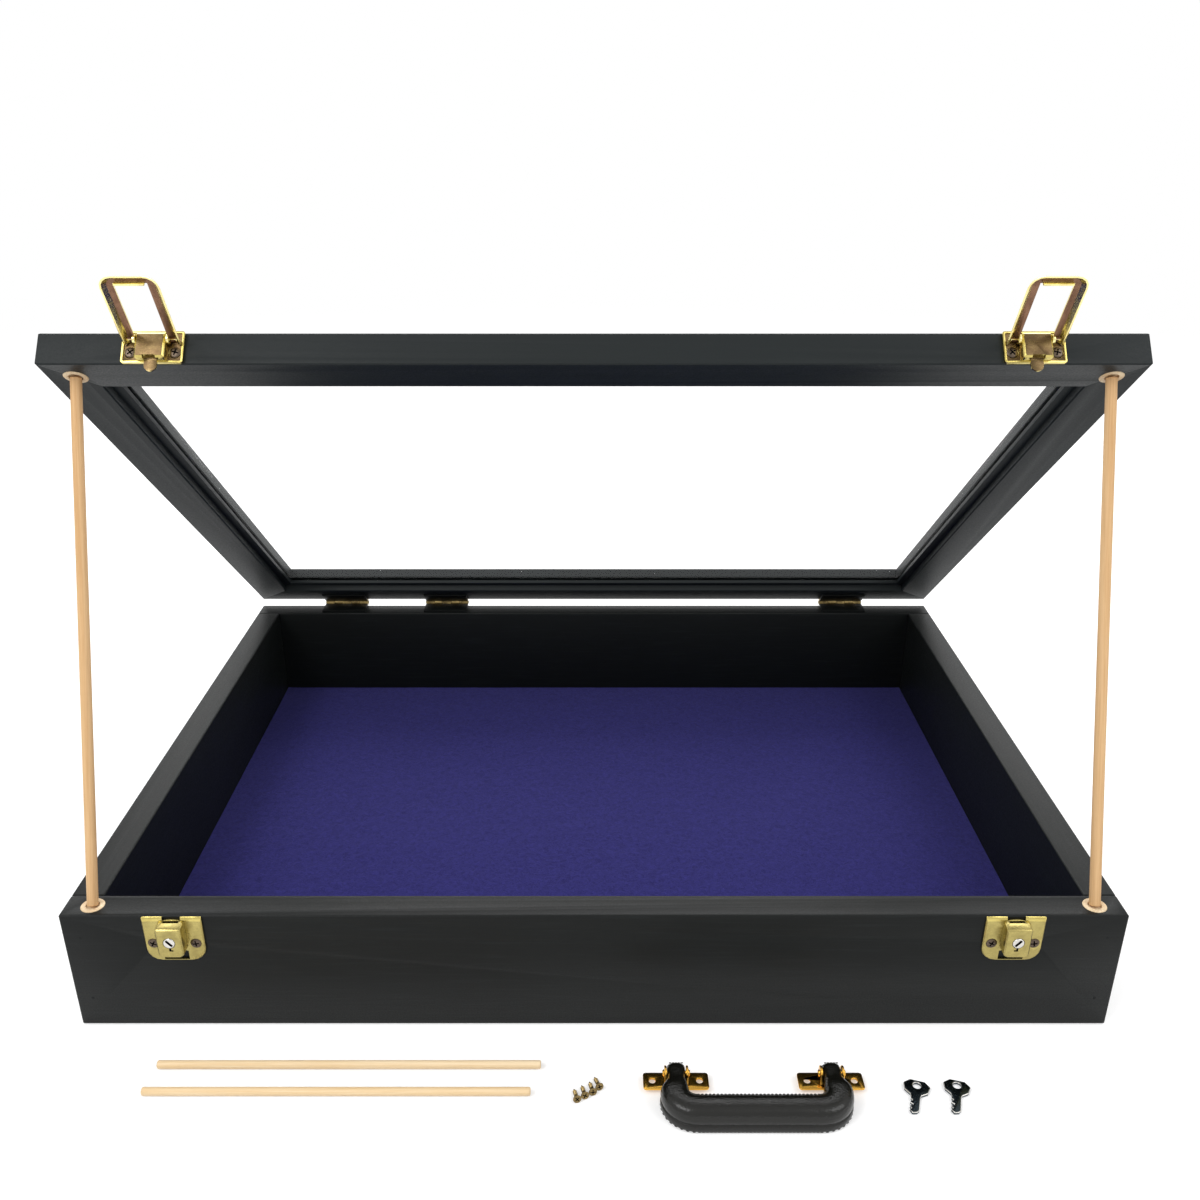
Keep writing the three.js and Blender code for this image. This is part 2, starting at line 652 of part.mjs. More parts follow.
for (const [side, hand] of [
  ["left", -1],
  ["right", 1],
]) {
  const x = hand * fromMiddle(LATCH.fromEnd);
  const top = CASE.height;
  const screwPlaces = (z) => [-SCREW_AT.spread, SCREW_AT.spread].map((offset) => [x + offset, z]);

  const plate = piece(caseGroup, `lock_plate_${side}`, lockPlate(), brass, [x, front, top]);
  piece(caseGroup, `lock_housing_${side}`, lockHousing(hand), brass, [x, front, top]);
  piece(caseGroup, `lock_plug_${side}`, lockPlug(hand), silver, [x, front, top + PLUG.height]);
  piece(caseGroup, `lock_bolt_${side}`, lockBolt(), silver, [x, front, top]);
  screwPlaces(top + SCREW_AT.onLock).forEach(([screwX, z], i) => {
    const seat = [screwX, front - LOCK_PLATE.thick, z];
    for (const held of [plate, walls.case_front]) carve(held, screwBody(running).translate(...seat));
    piece(caseGroup, `lock_screw_${side}_${i + 1}`, latchScrew(), brownedSteel, seat);
  });

  const catchMesh = piece(lidGroup, `catch_plate_${side}`, catchPlate(), brass, [x, lidFront, lidUnder]);
  screwPlaces(lidUnder + SCREW_AT.onCatch).forEach(([screwX, z], i) => {
    const seat = [screwX, lidFront - CATCH.thick, z];
    for (const held of [catchMesh, rails.lid_front]) carve(held, screwBody(running).translate(...seat));
    piece(lidGroup, `catch_screw_${side}_${i + 1}`, latchScrew(), brownedSteel, seat);
  });
  const pivot = [x, lidFront - BAIL.pivotOut, lidUnder + BAIL.pivot];
  const bail = piece(lidGroup, `bail_${side}`, bailForm(), brass, pivot);
  bail.rotation.x = -Math.PI + bailLean * DEGREE;
}

// Loose pieces that lie on the table in front of the box

const looseDowels = { loose_dowel_rear: DOWEL_REAR, loose_dowel_front: DOWEL_FRONT };
for (const [name, { length, x, fromFront }] of Object.entries(looseDowels)) {
  const dowel = rodX(LOOSE_DOWEL.radius, length, 16);
  piece(displayBox, name, dowel, birch, [x, front - fromFront, LOOSE_DOWEL.radius]);
}

// Carrying handle: a U-shaped grip that lies flat, its legs towards the case, with a riveted
// bracket on the end of each leg

const gripGroup = groupAt(displayBox, GRIP.x, front - GRIP.fromFront, 0);

// Half of the grip's middle line, from the end of the right leg to the middle of the bar.
function gripLine() {
  const { reach, legs, spread, bend } = GRIP;
  const shoulder = new THREE.Vector3(spread, -(reach - bend), 0);
  const neck = new THREE.Vector3(legs, -GRIP_NECK.straight, 0);
  const halfway = (neck.y + shoulder.y) / 2;
  const leg = new THREE.CubicBezierCurve3(
    neck,
    new THREE.Vector3(legs, halfway, 0),
    new THREE.Vector3(spread, halfway, 0),
    shoulder,
  );
  const turn = Array.from({ length: 7 }, (_, i) => {
    const angle = 15 * (i + 1) * DEGREE;
    const x = spread - bend + bend * Math.cos(angle);
    return new THREE.Vector3(x, shoulder.y - bend * Math.sin(angle), 0);
  }).slice(0, 6);
  const bar = [0.75, 0.5, 0.25, 0].map((t) => new THREE.Vector3((spread - bend) * t, -reach, 0));
  return [new THREE.Vector3(legs, 0, 0), ...leg.getPoints(3), ...turn, ...bar];
}

function gripForm() {
  const half = gripLine();
  const mirrored = half.slice(0, -1).map((p) => new THREE.Vector3(-p.x, p.y, 0));
  const line = [...half, ...mirrored.reverse()];
  const travelled = [0];
  line.slice(1).forEach((point, i) => travelled.push(travelled[i] + point.distanceTo(line[i])));
  const whole = travelled.at(-1);
  const sides = 14;
  const rings = line.map((point, i) => {
    const before = line[Math.max(i - 1, 0)];
    const after = line[Math.min(i + 1, line.length - 1)];
    const along = after.clone().sub(before).normalize();
    const across = new THREE.Vector3(along.y, -along.x, 0);
    const fromEnd = Math.min(travelled[i], whole - travelled[i]);
    const swell = THREE.MathUtils.smoothstep(fromEnd, GRIP_NECK.swellFrom, GRIP_NECK.swellTo);
    const wide = THREE.MathUtils.lerp(GRIP_WIDE.leg, GRIP_WIDE.bar, swell) / 2;
    const high = THREE.MathUtils.lerp(GRIP_HEIGHT.end, GRIP_HEIGHT.bar, swell) / 2;
    const middle = THREE.MathUtils.lerp(GRIP_HEIGHT.pin, GRIP_HEIGHT.bar / 2, swell);
    return Array.from({ length: sides }, (_, s) => {
      const angle = (2 * Math.PI * (s + 0.5)) / sides;
      const squared = (c) => Math.sign(c) * Math.abs(c) ** 0.8;
      const offset = across.clone().multiplyScalar(wide * squared(Math.cos(angle)));
      return point.clone().add(offset).setZ(middle + high * squared(Math.sin(angle)));
    });
  });
  const { end, pin, pinFromEnd } = GRIP_HEIGHT;
  const atRivet = (form, hand) => form.translate(hand * GRIP.legs, -pinFromEnd, pin);
  const aroundLeg = block(-GRIP_WIDE.leg, GRIP_WIDE.leg, 0, end, -end, end);
  const aroundRoundEnd = cut(aroundLeg, rodX(end / 2, 3 * GRIP_WIDE.leg, 24));
  const tools = [-1, 1].flatMap((hand) => [
    atRivet(rodX(RIVET.radius + running, 2 * GRIP_WIDE.leg, 12), hand),
    atRivet(aroundRoundEnd.clone(), hand),
  ]);
  return cut(loft(rings), ...tools);
}
piece(gripGroup, "handle_grip", gripForm(), leatherette);

// The bracket in the pose it has when it is screwed to a board: its plate stands behind the leg's
// end, and its origin is on the rivet. Loose on the table, each has swung down under its leg.
const earInside = GRIP_WIDE.leg / 2 + BRACKET.play;
function bracketForm() {
  const { half, height, sheet, hole, holeAt } = BRACKET;
  const behind = GRIP_HEIGHT.pinFromEnd + BRACKET.behind;
  const outline = plateOutline(half, -height / 2, height / 2, 1.5, 1.5, 2);
  const plate = pressed([outline, -behind - sheet], [outline, -behind]);
  const screwHoles = [-1, 1].map((hand) => rodY(hole, 8, 14).translate(hand * holeAt, behind, 0));
  const ears = [-1, 1].flatMap((hand) => {
    const x = hand * (earInside + sheet / 2);
    const cheek = block(x - sheet / 2, x + sheet / 2, 0, behind + sheet / 2, -bracketEar, bracketEar);
    return [cheek, rodX(bracketEar, sheet, 16).translate(x, 0, 0)];
  });
  const body = join(cut(plate, ...screwHoles), ...ears);
  return cut(body, rodX(RIVET.radius + running / 2, 2 * half, 12));
}

function rivetForm() {
  const half = earInside + BRACKET.sheet + running;
  return turned(
    [
      [0, -half - RIVET.headThick],
      [RIVET.head * 0.7, -half - RIVET.headThick],
      [RIVET.head, -half],
      [RIVET.radius, -half],
      [RIVET.radius, half],
      [RIVET.head, half],
      [RIVET.head * 0.7, half + RIVET.headThick],
      [0, half + RIVET.headThick],
    ],
    12,
  ).rotateY(Math.PI / 2);
}

for (const [side, hand] of [
  ["left", -1],
  ["right", 1],
]) {
  const pivot = [hand * GRIP.legs, -GRIP_HEIGHT.pinFromEnd, GRIP_HEIGHT.pin];
  const bracket = piece(gripGroup, `handle_bracket_${side}`, bracketForm(), gilt, pivot);
  bracket.rotation.x = -Math.PI / 2;
  piece(gripGroup, `handle_rivet_${side}`, rivetForm(), gilt, pivot);
}

// Keys: a flat blank with a cut blade that points to the front

function keyForm() {
  const { thick, bow, bowLong, neck, blade, length, hole, ease } = KEY;
  const shape = new THREE.Shape();
  shape.moveTo(-bow * 0.55, length / 2);
  shape.lineTo(-bow, length / 2 - bowLong * 0.3);
  shape.lineTo(-bow * 0.86, length / 2 - bowLong * 0.75);
  shape.lineTo(-neck, length / 2 - bowLong);
  shape.lineTo(-blade, length / 2 - bowLong - 1.5);
  const bladeEnd = -length / 2;
  const cuts = 3;
  const pitch = (length - bowLong - 1.5) / (cuts + 1);
  for (let i = 1; i <= cuts; i++) {
    const y = length / 2 - bowLong - 1.5 - i * pitch;
    const deep = i === 2 ? 1.7 : 1.1;
    shape.lineTo(-blade, y + pitch * 0.35);
    shape.lineTo(-blade + deep, y + pitch * 0.1);
    shape.lineTo(-blade + deep, y - pitch * 0.1);
    shape.lineTo(-blade, y - pitch * 0.35);
  }
  shape.lineTo(-blade * 0.3, bladeEnd);
  shape.lineTo(blade * 0.6, bladeEnd + 0.8);
  shape.lineTo(blade, bladeEnd + 2.5);
  shape.lineTo(blade, length / 2 - bowLong - 1.5);
  shape.lineTo(neck, length / 2 - bowLong);
  shape.lineTo(bow * 0.86, length / 2 - bowLong * 0.75);
  shape.lineTo(bow, length / 2 - bowLong * 0.3);
  shape.lineTo(bow * 0.55, length / 2);
  const ring = new THREE.Path();
  ring.absarc(0, length / 2 - hole - 1.6, hole, 0, 2 * Math.PI, true);
  shape.holes.push(ring);
  const bevel = { bevelThickness: ease, bevelSize: ease, bevelOffset: -ease, bevelSegments: 1 };
  const blank = new THREE.ExtrudeGeometry(shape, { depth: thick - 2 * ease, curveSegments: 7, ...bevel });
  return blank.translate(0, 0, ease);
}
for (const { name, x, fromFront, turn } of keys) {
  const key = piece(displayBox, name, keyForm(), darkSteel, [x, front - fromFront, 0]);
  key.rotation.z = turn * DEGREE;
}

// Spare screws: each lies on the rim of its head and on its tip

looseScrews.forEach(({ x, fromFront, heading }, i) => {
  const { head, length, slot } = SMALL_SCREW;
  const tip = Math.asin(head / Math.hypot(head, length));
  const lying = crossSlotted(screwForm(SMALL_SCREW), { ...SMALL_SCREW, slot });
  lying.rotateY(Math.PI / 2 + tip);
  lying.computeBoundingBox();
  lying.translate(0, 0, -lying.boundingBox.min.z);
  const screw = piece(displayBox, `loose_screw_${i + 1}`, lying, brownedSteel, [x, front - fromFront, 0]);
  screw.rotation.z = heading * DEGREE;
});

export default displayBox;
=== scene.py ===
# Arrowhead display box: a black wooden case with a felt floor, its glazed lid held open by two
# dowels, with brass draw latches, and the spare dowels, screws, handle and keys beside it.
# Sizes are in metres unless a comment says otherwise. The front looks along -Y.
import math

import bpy
import numpy as np
from mathutils import Matrix, Vector


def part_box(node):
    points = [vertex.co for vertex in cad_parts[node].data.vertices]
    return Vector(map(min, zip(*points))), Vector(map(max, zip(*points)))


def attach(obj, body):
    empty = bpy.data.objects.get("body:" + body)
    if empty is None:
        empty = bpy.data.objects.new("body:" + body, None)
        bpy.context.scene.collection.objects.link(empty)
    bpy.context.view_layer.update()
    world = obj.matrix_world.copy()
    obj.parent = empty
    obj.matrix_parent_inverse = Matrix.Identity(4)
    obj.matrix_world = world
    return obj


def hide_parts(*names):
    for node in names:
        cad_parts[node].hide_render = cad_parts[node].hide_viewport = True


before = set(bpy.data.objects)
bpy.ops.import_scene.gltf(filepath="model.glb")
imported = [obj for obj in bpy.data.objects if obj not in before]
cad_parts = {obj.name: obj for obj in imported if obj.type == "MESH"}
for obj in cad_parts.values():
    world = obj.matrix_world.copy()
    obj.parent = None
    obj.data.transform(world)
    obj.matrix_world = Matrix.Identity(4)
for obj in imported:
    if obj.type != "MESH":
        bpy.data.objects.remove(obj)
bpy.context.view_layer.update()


# Camera
# It stands 0.77 m in front of the middle of the box and half a metre up, looking 24.55 degrees
# down, with the small shift of the photograph's framing.
eye = (0, -0.7708, 0.4975)
look_down = math.radians(24.55)
bpy.ops.object.camera_add(location=eye, rotation=(math.pi / 2 - look_down, 0, 0))
camera = bpy.context.object
camera.data.lens = 35.19
camera.data.shift_x = 0.0052
camera.data.shift_y = 0.0359
bpy.context.scene.camera = camera
bpy.context.scene.view_settings.view_transform = "Standard"


# Table and surroundings
# A white table top whose far edge fades into a white room. Metal and glass see the same white,
# and the table keeps the soft shadow under the box.
def linear(code):
    """The linear colour of an sRGB hex code."""
    shares = [int(code[i : i + 2], 16) / 255 for i in (1, 3, 5)]
    return (*(s / 12.92 if s <= 0.04045 else ((s + 0.055) / 1.055) ** 2.4 for s in shares), 1)


def fill_inputs(tree, node, inputs):
    """Links each input to another node's output, or sets it to a value."""
    for socket, value in dict(inputs).items():
        if isinstance(value, bpy.types.NodeSocket):
            tree.links.new(value, node.inputs[socket])
        else:
            node.inputs[socket].default_value = value


def add_node(tree, kind, inputs=(), **settings):
    """Adds a shader node with its settings and inputs. A colour mix takes its share at input 0
    and its two colours at 6 and 7, and gives its colour at output 2."""
    node = tree.nodes.new("ShaderNode" + kind)
    for setting, value in settings.items():
        setattr(node, setting, value)
    fill_inputs(tree, node, inputs)
    return node


def new_material(name):
    """A named material, its node tree and its Principled shader."""
    material = bpy.data.materials.new(name)
    material.use_nodes = True
    tree = material.node_tree
    return material, tree, tree.nodes["Principled BSDF"]


def picture_rays(tree):
    """1 for what the camera sees, straight, in a gloss or through glass, and 0 for other light."""
    path = add_node(tree, "LightPath")
    seen = path.outputs["Is Camera Ray"]
    for ray in ("Is Transmission Ray", "Is Glossy Ray"):
        either = add_node(tree, "Math", {0: seen, 1: path.outputs[ray]}, operation="MAXIMUM")
        seen = either.outputs[0]
    return seen


room_light = 0.62
world = bpy.data.worlds.new("white_room")
world.use_nodes = True
bpy.context.scene.world = world
tree = world.node_tree
strength = add_node(
    tree, "MapRange", {"Value": picture_rays(tree), "To Min": room_light, "To Max": 1.0}
)
fill_inputs(tree, tree.nodes["Background"], {"Color": (1, 1, 1, 1), "Strength": strength.outputs[0]})

# The table lies a hair below the box. Beyond fade_from it turns clear, and at fade_to it is gone.
table_radius = 3.2
table_drop = 0.0003
table_glow = 0.35
fade_from, fade_to = 1.0, 2.6
bpy.ops.mesh.primitive_circle_add(
    vertices=96, radius=table_radius, fill_type="NGON", location=(0, 0, -table_drop)
)
table = bpy.context.object
table.name = "table_top"
laminate, tree, shader = new_material("white_laminate")
glow = add_node(tree, "Math", {0: picture_rays(tree), 1: table_glow}, operation="MULTIPLY")
spot = add_node(tree, "TexCoord")
reach = add_node(tree, "VectorMath", {0: spot.outputs["Object"]}, operation="LENGTH")
fade = add_node(
    tree,
    "MapRange",
    {
        "Value": reach.outputs["Value"],
        "From Min": fade_from,
        "From Max": fade_to,
        "To Min": 1.0,
        "To Max": 0.0,
    },
    interpolation_type="SMOOTHSTEP",
)
fill_inputs(
    tree,
    shader,
    {
        "Base Color": linear("#e9e9e9"),
        "Roughness": 0.9,
        "Specular IOR Level": 0.0,
        "Emission Color": (1, 1, 1, 1),
        "Emission Strength": glow.outputs[0],
        "Alpha": fade.outputs[0],
    },
)
table.data.materials.append(laminate)


def soft_light(name, place, aim, wide, high, power):
    """A lamp panel that faces the aim point, with its power in watts."""
    bpy.ops.object.light_add(type="AREA", location=place)
    lamp = bpy.context.object
    lamp.name = name
    lamp.data.shape = "RECTANGLE"
    lamp.data.size = wide
    lamp.data.size_y = high
    lamp.data.energy = power
    lamp.rotation_euler = (Vector(aim) - Vector(place)).to_track_quat("-Z", "Y").to_euler()


soft_light("lamp_above_left", (-1.3, -1.1, 1.9), (0, 0, 0.1), 1.3, 1.3, 21)
soft_light("lamp_above_right", (1.5, -0.9, 1.7), (0, 0, 0.1), 1.3, 1.3, 15)
soft_light("lamp_behind", (0, 2.1, 1.7), (0, -0.1, 0.1), 3.4, 1.2, 48)
soft_light("small_lamp_left", (-0.8, -1.0, 1.3), (0, -0.2, 0), 0.22, 0.22, 2.2)


# Case
# Four pine boards butted and nailed at the corners, over a thin bottom panel. They are sanded round
# at the edges and sprayed with satin black lacquer.

# Bends softer than smooth_below are shaded smooth. Points nearer than same_point are merged, and
# faces that agree to within same_plane are joined.
smooth_below = math.radians(40)
same_point = 2e-6
same_plane = math.radians(0.5)


def select_only(piece):
    """Leaves one piece selected and active."""
    bpy.ops.object.select_all(action="DESELECT")
    piece.select_set(True)
    bpy.context.view_layer.objects.active = piece


def apply_place(piece):
    """Puts a piece's place, turn and scale into its mesh."""
    select_only(piece)
    bpy.ops.object.transform_apply(location=True, rotation=True, scale=True)


def apply_modifier(piece, kind, **settings):
    """Adds a modifier with its settings and applies it."""
    select_only(piece)
    modifier = piece.modifiers.new(kind.lower(), kind)
    for setting, value in settings.items():
        setattr(modifier, setting, value)
    bpy.ops.object.modifier_apply(modifier=modifier.name)


def round_edges(piece, width, segments=3, angle=25):
    """Bevels every edge sharper than the angle, and shades the rest smooth."""
    apply_modifier(
        piece,
        "BEVEL",
        width=width,
        segments=segments,
        limit_method="ANGLE",
        angle_limit=math.radians(angle),
        harden_normals=False,
        miter_outer="MITER_ARC",
    )
    select_only(piece)
    bpy.ops.object.shade_smooth_by_angle(angle=smooth_below)


def worked_copy(node, name, width, segments=3, angle=25):
    """Copies a solid of the frame, merges its triangles into faces and rounds its edges."""
    piece = bpy.data.objects.new(name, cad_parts[node].data.copy())
    bpy.context.collection.objects.link(piece)
    select_only(piece)
    bpy.ops.object.mode_set(mode="EDIT")
    bpy.ops.mesh.select_all(action="SELECT")
    bpy.ops.mesh.remove_doubles(threshold=same_point)
    bpy.ops.mesh.dissolve_limited(angle_limit=same_plane)
    bpy.ops.object.mode_set(mode="OBJECT")
    round_edges(piece, width, segments, angle)
    return piece


def settle(piece, body, slot, material, *nodes):
    """Puts the place into the mesh, gives the finish, and lets the piece ride for its solids."""
    apply_place(piece)
    piece.data.materials.clear()
    piece.data.materials.append(material)
    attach(piece, body)
    if nodes:
        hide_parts(*nodes)
    return piece


def satin_lacquer(name, grain_turn, deep="#0a0c0c", pale="#101312"):
    """Black lacquer over pine whose grain runs along X, turned by the three angles. Its fine peel
    breaks the gloss up, and the grain shows through as long low ridges, a little greyer."""
    material, tree, shader = new_material(name)
    grain_width = 0.0016
    grain_stretch = 28
    peel_size = 0.0009
    cloud_size = 0.1111
    ridge_grey = "#1d2121"
    spot = add_node(tree, "TexCoord")
    along = add_node(
        tree,
        "Mapping",
        {"Vector": spot.outputs["Object"], "Rotation": grain_turn, "Scale": (grain_stretch, 1, 1)},
        vector_type="TEXTURE",
    )
    grain = add_node(
        tree,
        "TexNoise",
        {"Vector": along.outputs[0], "Scale": 1 / grain_width, "Detail": 3, "Roughness": 0.6},
    )
    peel = add_node(
        tree, "TexNoise", {"Vector": spot.outputs["Object"], "Scale": 1 / peel_size, "Detail": 2}
    )
    cloud = add_node(
        tree, "TexNoise", {"Vector": spot.outputs["Object"], "Scale": 1 / cloud_size, "Detail": 3}
    )
    tone = add_node(
        tree, "Mix", {0: cloud.outputs[0], 6: linear(deep), 7: linear(pale)}, data_type="RGBA"
    )
    ridge = add_node(
        tree,
        "MapRange",
        {"Value": grain.outputs[0], "From Min": 0.52, "From Max": 0.72, "To Max": 0.4},
    )
    colour = add_node(
        tree,
        "Mix",
        {0: ridge.outputs[0], 6: tone.outputs[2], 7: linear(ridge_grey)},
        data_type="RGBA",
    )
    gloss = add_node(
        tree,
        "MapRange",
        {"Value": peel.outputs[0], "From Min": 0.3, "From Max": 0.7, "To Min": 0.42, "To Max": 0.56},
    )
    low = add_node(tree, "Bump", {"Height": grain.outputs[0], "Strength": 0.35, "Distance": 0.00012})
    fine = add_node(
        tree,
        "Bump",
        {
            "Height": peel.outputs[0],
            "Strength": 0.3,
            "Distance": 0.00008,
            "Normal": low.outputs[0],
        },
    )
    fill_inputs(
        tree,
        shader,
        {
            "Base Color": colour.outputs[2],
            "Roughness": gloss.outputs[0],
            "Normal": fine.outputs[0],
            "Specular IOR Level": 0.17,
        },
    )
    return material


def lacquered_boards(nodes, ending, body, lacquer):
    """Works the boards of the frame, with softly sanded edges, and sprays them."""
    sanded = 0.00035
    for node in nodes:
        settle(worked_copy(node, node + ending, sanded), body, "black_paint", lacquer, node)


lacquer_across = satin_lacquer("satin_black_lacquer_across", (0, 0, 0))
lacquer_deep = satin_lacquer("satin_black_lacquer_deep", (0, 0, math.pi / 2))
lacquered_boards(("case_front", "case_back", "bottom_panel"), "_board", "case", lacquer_across)
lacquered_boards(("case_left", "case_right"), "_board", "case", lacquer_deep)


# Nail holes
# The front and back boards are nailed into the ends of the side boards. Each nail is set below the
# surface and stopped with filler that dries a little proud and darker than the lacquer.
def turned(name, profile, vertices=48):
    """Draws a ring through (radius, height) steps as on a lathe, closed at both ends, going up Z."""
    radius, height = profile[0]
    bpy.ops.mesh.primitive_circle_add(
        vertices=vertices, radius=radius, fill_type="NGON", location=(0, 0, height)
    )
    piece = bpy.context.object
    piece.name = name
    bpy.ops.object.mode_set(mode="EDIT")
    for next_radius, next_height in profile[1:]:
        rise = (0, 0, next_height - height)
        bpy.ops.mesh.extrude_region_move(TRANSFORM_OT_translate={"value": rise})
        grow = next_radius / radius
        bpy.ops.transform.resize(value=(grow, grow, 1), center_override=(0, 0, next_height))
        radius, height = next_radius, next_height
    bpy.ops.mesh.select_all(action="SELECT")
    bpy.ops.mesh.normals_make_consistent(inside=False)
    bpy.ops.object.mode_set(mode="OBJECT")
    apply_place(piece)
    return piece


def stand(piece, place, direction):
    """Turns a piece that was made up Z to the direction, and moves its origin to the place."""
    turn = Vector((0, 0, 1)).rotation_difference(Vector(direction))
    piece.matrix_world = Matrix.Translation(place) @ turn.to_matrix().to_4x4()
    apply_place(piece)
    return piece


def join_all(name, pieces):
    """Joins pieces into one."""
    bpy.ops.object.select_all(action="DESELECT")
    for each in pieces:
        each.select_set(True)
    bpy.context.view_layer.objects.active = pieces[0]
    bpy.ops.object.join()
    bpy.context.object.name = name
    return bpy.context.object


# Wood filler under the lacquer drinks it in, so it is blacker and duller, with a sandy crumb.
crumb_size = 0.0004545
filler, tree, shader = new_material("lacquered_filler")
spot = add_node(tree, "TexCoord")
crumb = add_node(
    tree, "TexNoise", {"Vector": spot.outputs["Object"], "Scale": 1 / crumb_size, "Detail": 3}
)
shade = add_node(
    tree, "Mix", {0: crumb.outputs[0], 6: linear("#060707"), 7: linear("#171a1a")}, data_type="RGBA"
)
fill_inputs(
    tree,
    shader,
    {"Base Color": shade.outputs[2], "Roughness": 0.75, "Specular IOR Level": 0.25},
)

nail_radius = 0.0009
nail_inset = 0.0095
nail_heights = (0.25, 0.8)
stopping = [
    (nail_radius, -0.0012),
    (nail_radius, 0),
    (0.7 * nail_radius, 0.00008),
    (0.0002, 0.0001),
]
for node, outward in (("case_front", -1), ("case_back", 1)):
    low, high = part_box(node)
    face = low.y if outward < 0 else high.y
    stoppings = []
    for x in (low.x + nail_inset, high.x - nail_inset):
        for share in nail_heights:
            place = (x, face, low.z + share * (high.z - low.z))
            stoppings.append(stand(turned("stopping", stopping, 20), place, (0, outward, 0)))
    settle(join_all(node + "_nail_stopping", stoppings), "case", "black_paint", filler)


# Felt liner
# A sheet of wool-blend felt, 1.2 mm thick, glued to the bottom panel and cut just short of the
# boards. Its top swells and sinks by a quarter of a millimetre or so, as pressed felt does.
low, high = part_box("felt_liner")
felt_size = (high.x - low.x, high.y - low.y)
felt_thick = high.z - low.z
felt_cells = (230, 170)
swell_size, swell_height = 0.012, 0.00028
swell_room = 0.00015
bpy.ops.mesh.primitive_grid_add(
    x_subdivisions=felt_cells[0], y_subdivisions=felt_cells[1], size=1, location=(0, 0, 0)
)
felt = bpy.context.object
felt.name = "felt_sheet"
felt.dimensions = (*felt_size, 0)
felt.location = ((low.x + high.x) / 2, (low.y + high.y) / 2, high.z - swell_room)
apply_place(felt)
swell = bpy.data.textures.new("felt_swell", "CLOUDS")
swell.noise_scale = swell_size
swell.noise_depth = 3
apply_modifier(
    felt,
    "DISPLACE",
    texture=swell,
    texture_coords="LOCAL",
    strength=swell_height,
    mid_level=0.5,
    direction="Z",
)
apply_modifier(felt, "SOLIDIFY", thickness=felt_thick - 2 * swell_room, offset=-1)
bpy.ops.object.shade_smooth_by_angle(angle=smooth_below)

# Fibres pressed and dyed together: a mottled violet blue with a soft nap. The fibres are drawn
# coarser than real ones, so that they show.
tuft_size = 0.0035
fibre_width = 0.0007
fibre_stretch = 5
fibre_turn = 0.5
warp_size = 0.00625
warp_reach = 0.012
wool, tree, shader = new_material("wool_felt")
spot = add_node(tree, "TexCoord")
warp = add_node(
    tree, "TexNoise", {"Vector": spot.outputs["Object"], "Scale": 1 / warp_size, "Detail": 2}
)
bent = add_node(
    tree,
    "VectorMath",
    {0: warp.outputs["Color"], 1: (warp_reach, warp_reach, warp_reach), 2: spot.outputs["Object"]},
    operation="MULTIPLY_ADD",
)
tuft = add_node(
    tree,
    "TexNoise",
    {"Vector": bent.outputs[0], "Scale": 1 / tuft_size, "Detail": 5, "Roughness": 0.65},
)
stretched = add_node(
    tree,
    "Mapping",
    {"Vector": bent.outputs[0], "Rotation": (0, 0, fibre_turn), "Scale": (fibre_stretch, 1, 1)},
    vector_type="TEXTURE",
)
fibre = add_node(
    tree,
    "TexNoise",
    {"Vector": stretched.outputs[0], "Scale": 1 / fibre_width, "Detail": 3, "Roughness": 0.7},
)
blend = add_node(tree, "Math", {0: tuft.outputs[0], 1: fibre.outputs[0]}, operation="ADD")
share = add_node(tree, "MapRange", {"Value": blend.outputs[0], "From Min": 0.78, "From Max": 1.22})
colour = add_node(
    tree, "Mix", {0: share.outputs[0], 6: linear("#1d1a51"), 7: linear("#2a2869")}, data_type="RGBA"
)
nap = add_node(tree, "Bump", {"Height": blend.outputs[0], "Strength": 0.5, "Distance": 0.0004})
fill_inputs(
    tree,
    shader,
    {
        "Base Color": colour.outputs[2],
        "Normal": nap.outputs[0],
        "Roughness": 1.0,
        "Specular IOR Level": 0.1,
        "Sheen Weight": 0.08,
        "Sheen Roughness": 0.5,
    },
)
settle(felt, "case", "felt", wool, "felt_liner")


# Lid
# Four mitred rails of pine, grooved on the inside for the pane. Their lacquer is the case's, painted
# a shade lighter as painted light on the lid. The short rails' grain slopes up with the lid.
def largest_face_normal(node):
    """The outward direction of a solid's broadest face that looks up."""
    faces = [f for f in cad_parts[node].data.polygons if f.normal.z > 0.1]
    return max(faces, key=lambda face: face.area).normal.copy()


lid_up = largest_face_normal("lid_pane")
open_angle = math.atan2(lid_up.y, lid_up.z)
lid_front_way = Vector((0, -math.cos(open_angle), math.sin(open_angle)))
# The lid's two tones are lighter than the case's, as painted light.
lid_tones_painted_light = ("#161a1b", "#1f2425")
along_slope = (0, open_angle, math.pi / 2)
lacquer_rail = satin_lacquer("satin_black_lacquer_rail_painted_light", (0, 0, 0), *lid_tones_painted_light)
lacquer_slope = satin_lacquer("satin_black_lacquer_slope_painted_light", along_slope, *lid_tones_painted_light)
lacquered_boards(("lid_front", "lid_back"), "_rail", "lid", lacquer_rail)
lacquered_boards(("lid_left", "lid_right"), "_rail", "lid", lacquer_slope)


# Pane
# A 3 mm sheet of clear cast acrylic with its edges eased, held in the rails' groove. It is nearly
# invisible, but for a slight ripple in what it mirrors.
ripple_size = 0.07143
acrylic, tree, shader = new_material("clear_cast_acrylic")
spot = add_node(tree, "TexCoord")
ripple = add_node(
    tree, "TexNoise", {"Vector": spot.outputs["Object"], "Scale": 1 / ripple_size, "Detail": 1}
)
flow = add_node(tree, "Bump", {"Height": ripple.outputs[0], "Strength": 0.05, "Distance": 0.0005})
fill_inputs(
    tree,
    shader,
    {
        "Base Color": linear("#fdffff"),
        "Normal": flow.outputs[0],
        "Roughness": 0.0,
        "IOR": 1.49,
        "Transmission Weight": 1.0,
        "Alpha": 0.05,
    },
)
settle(worked_copy("lid_pane", "acrylic_pane", 0.0002, 2), "lid", "acrylic", acrylic, "lid_pane")
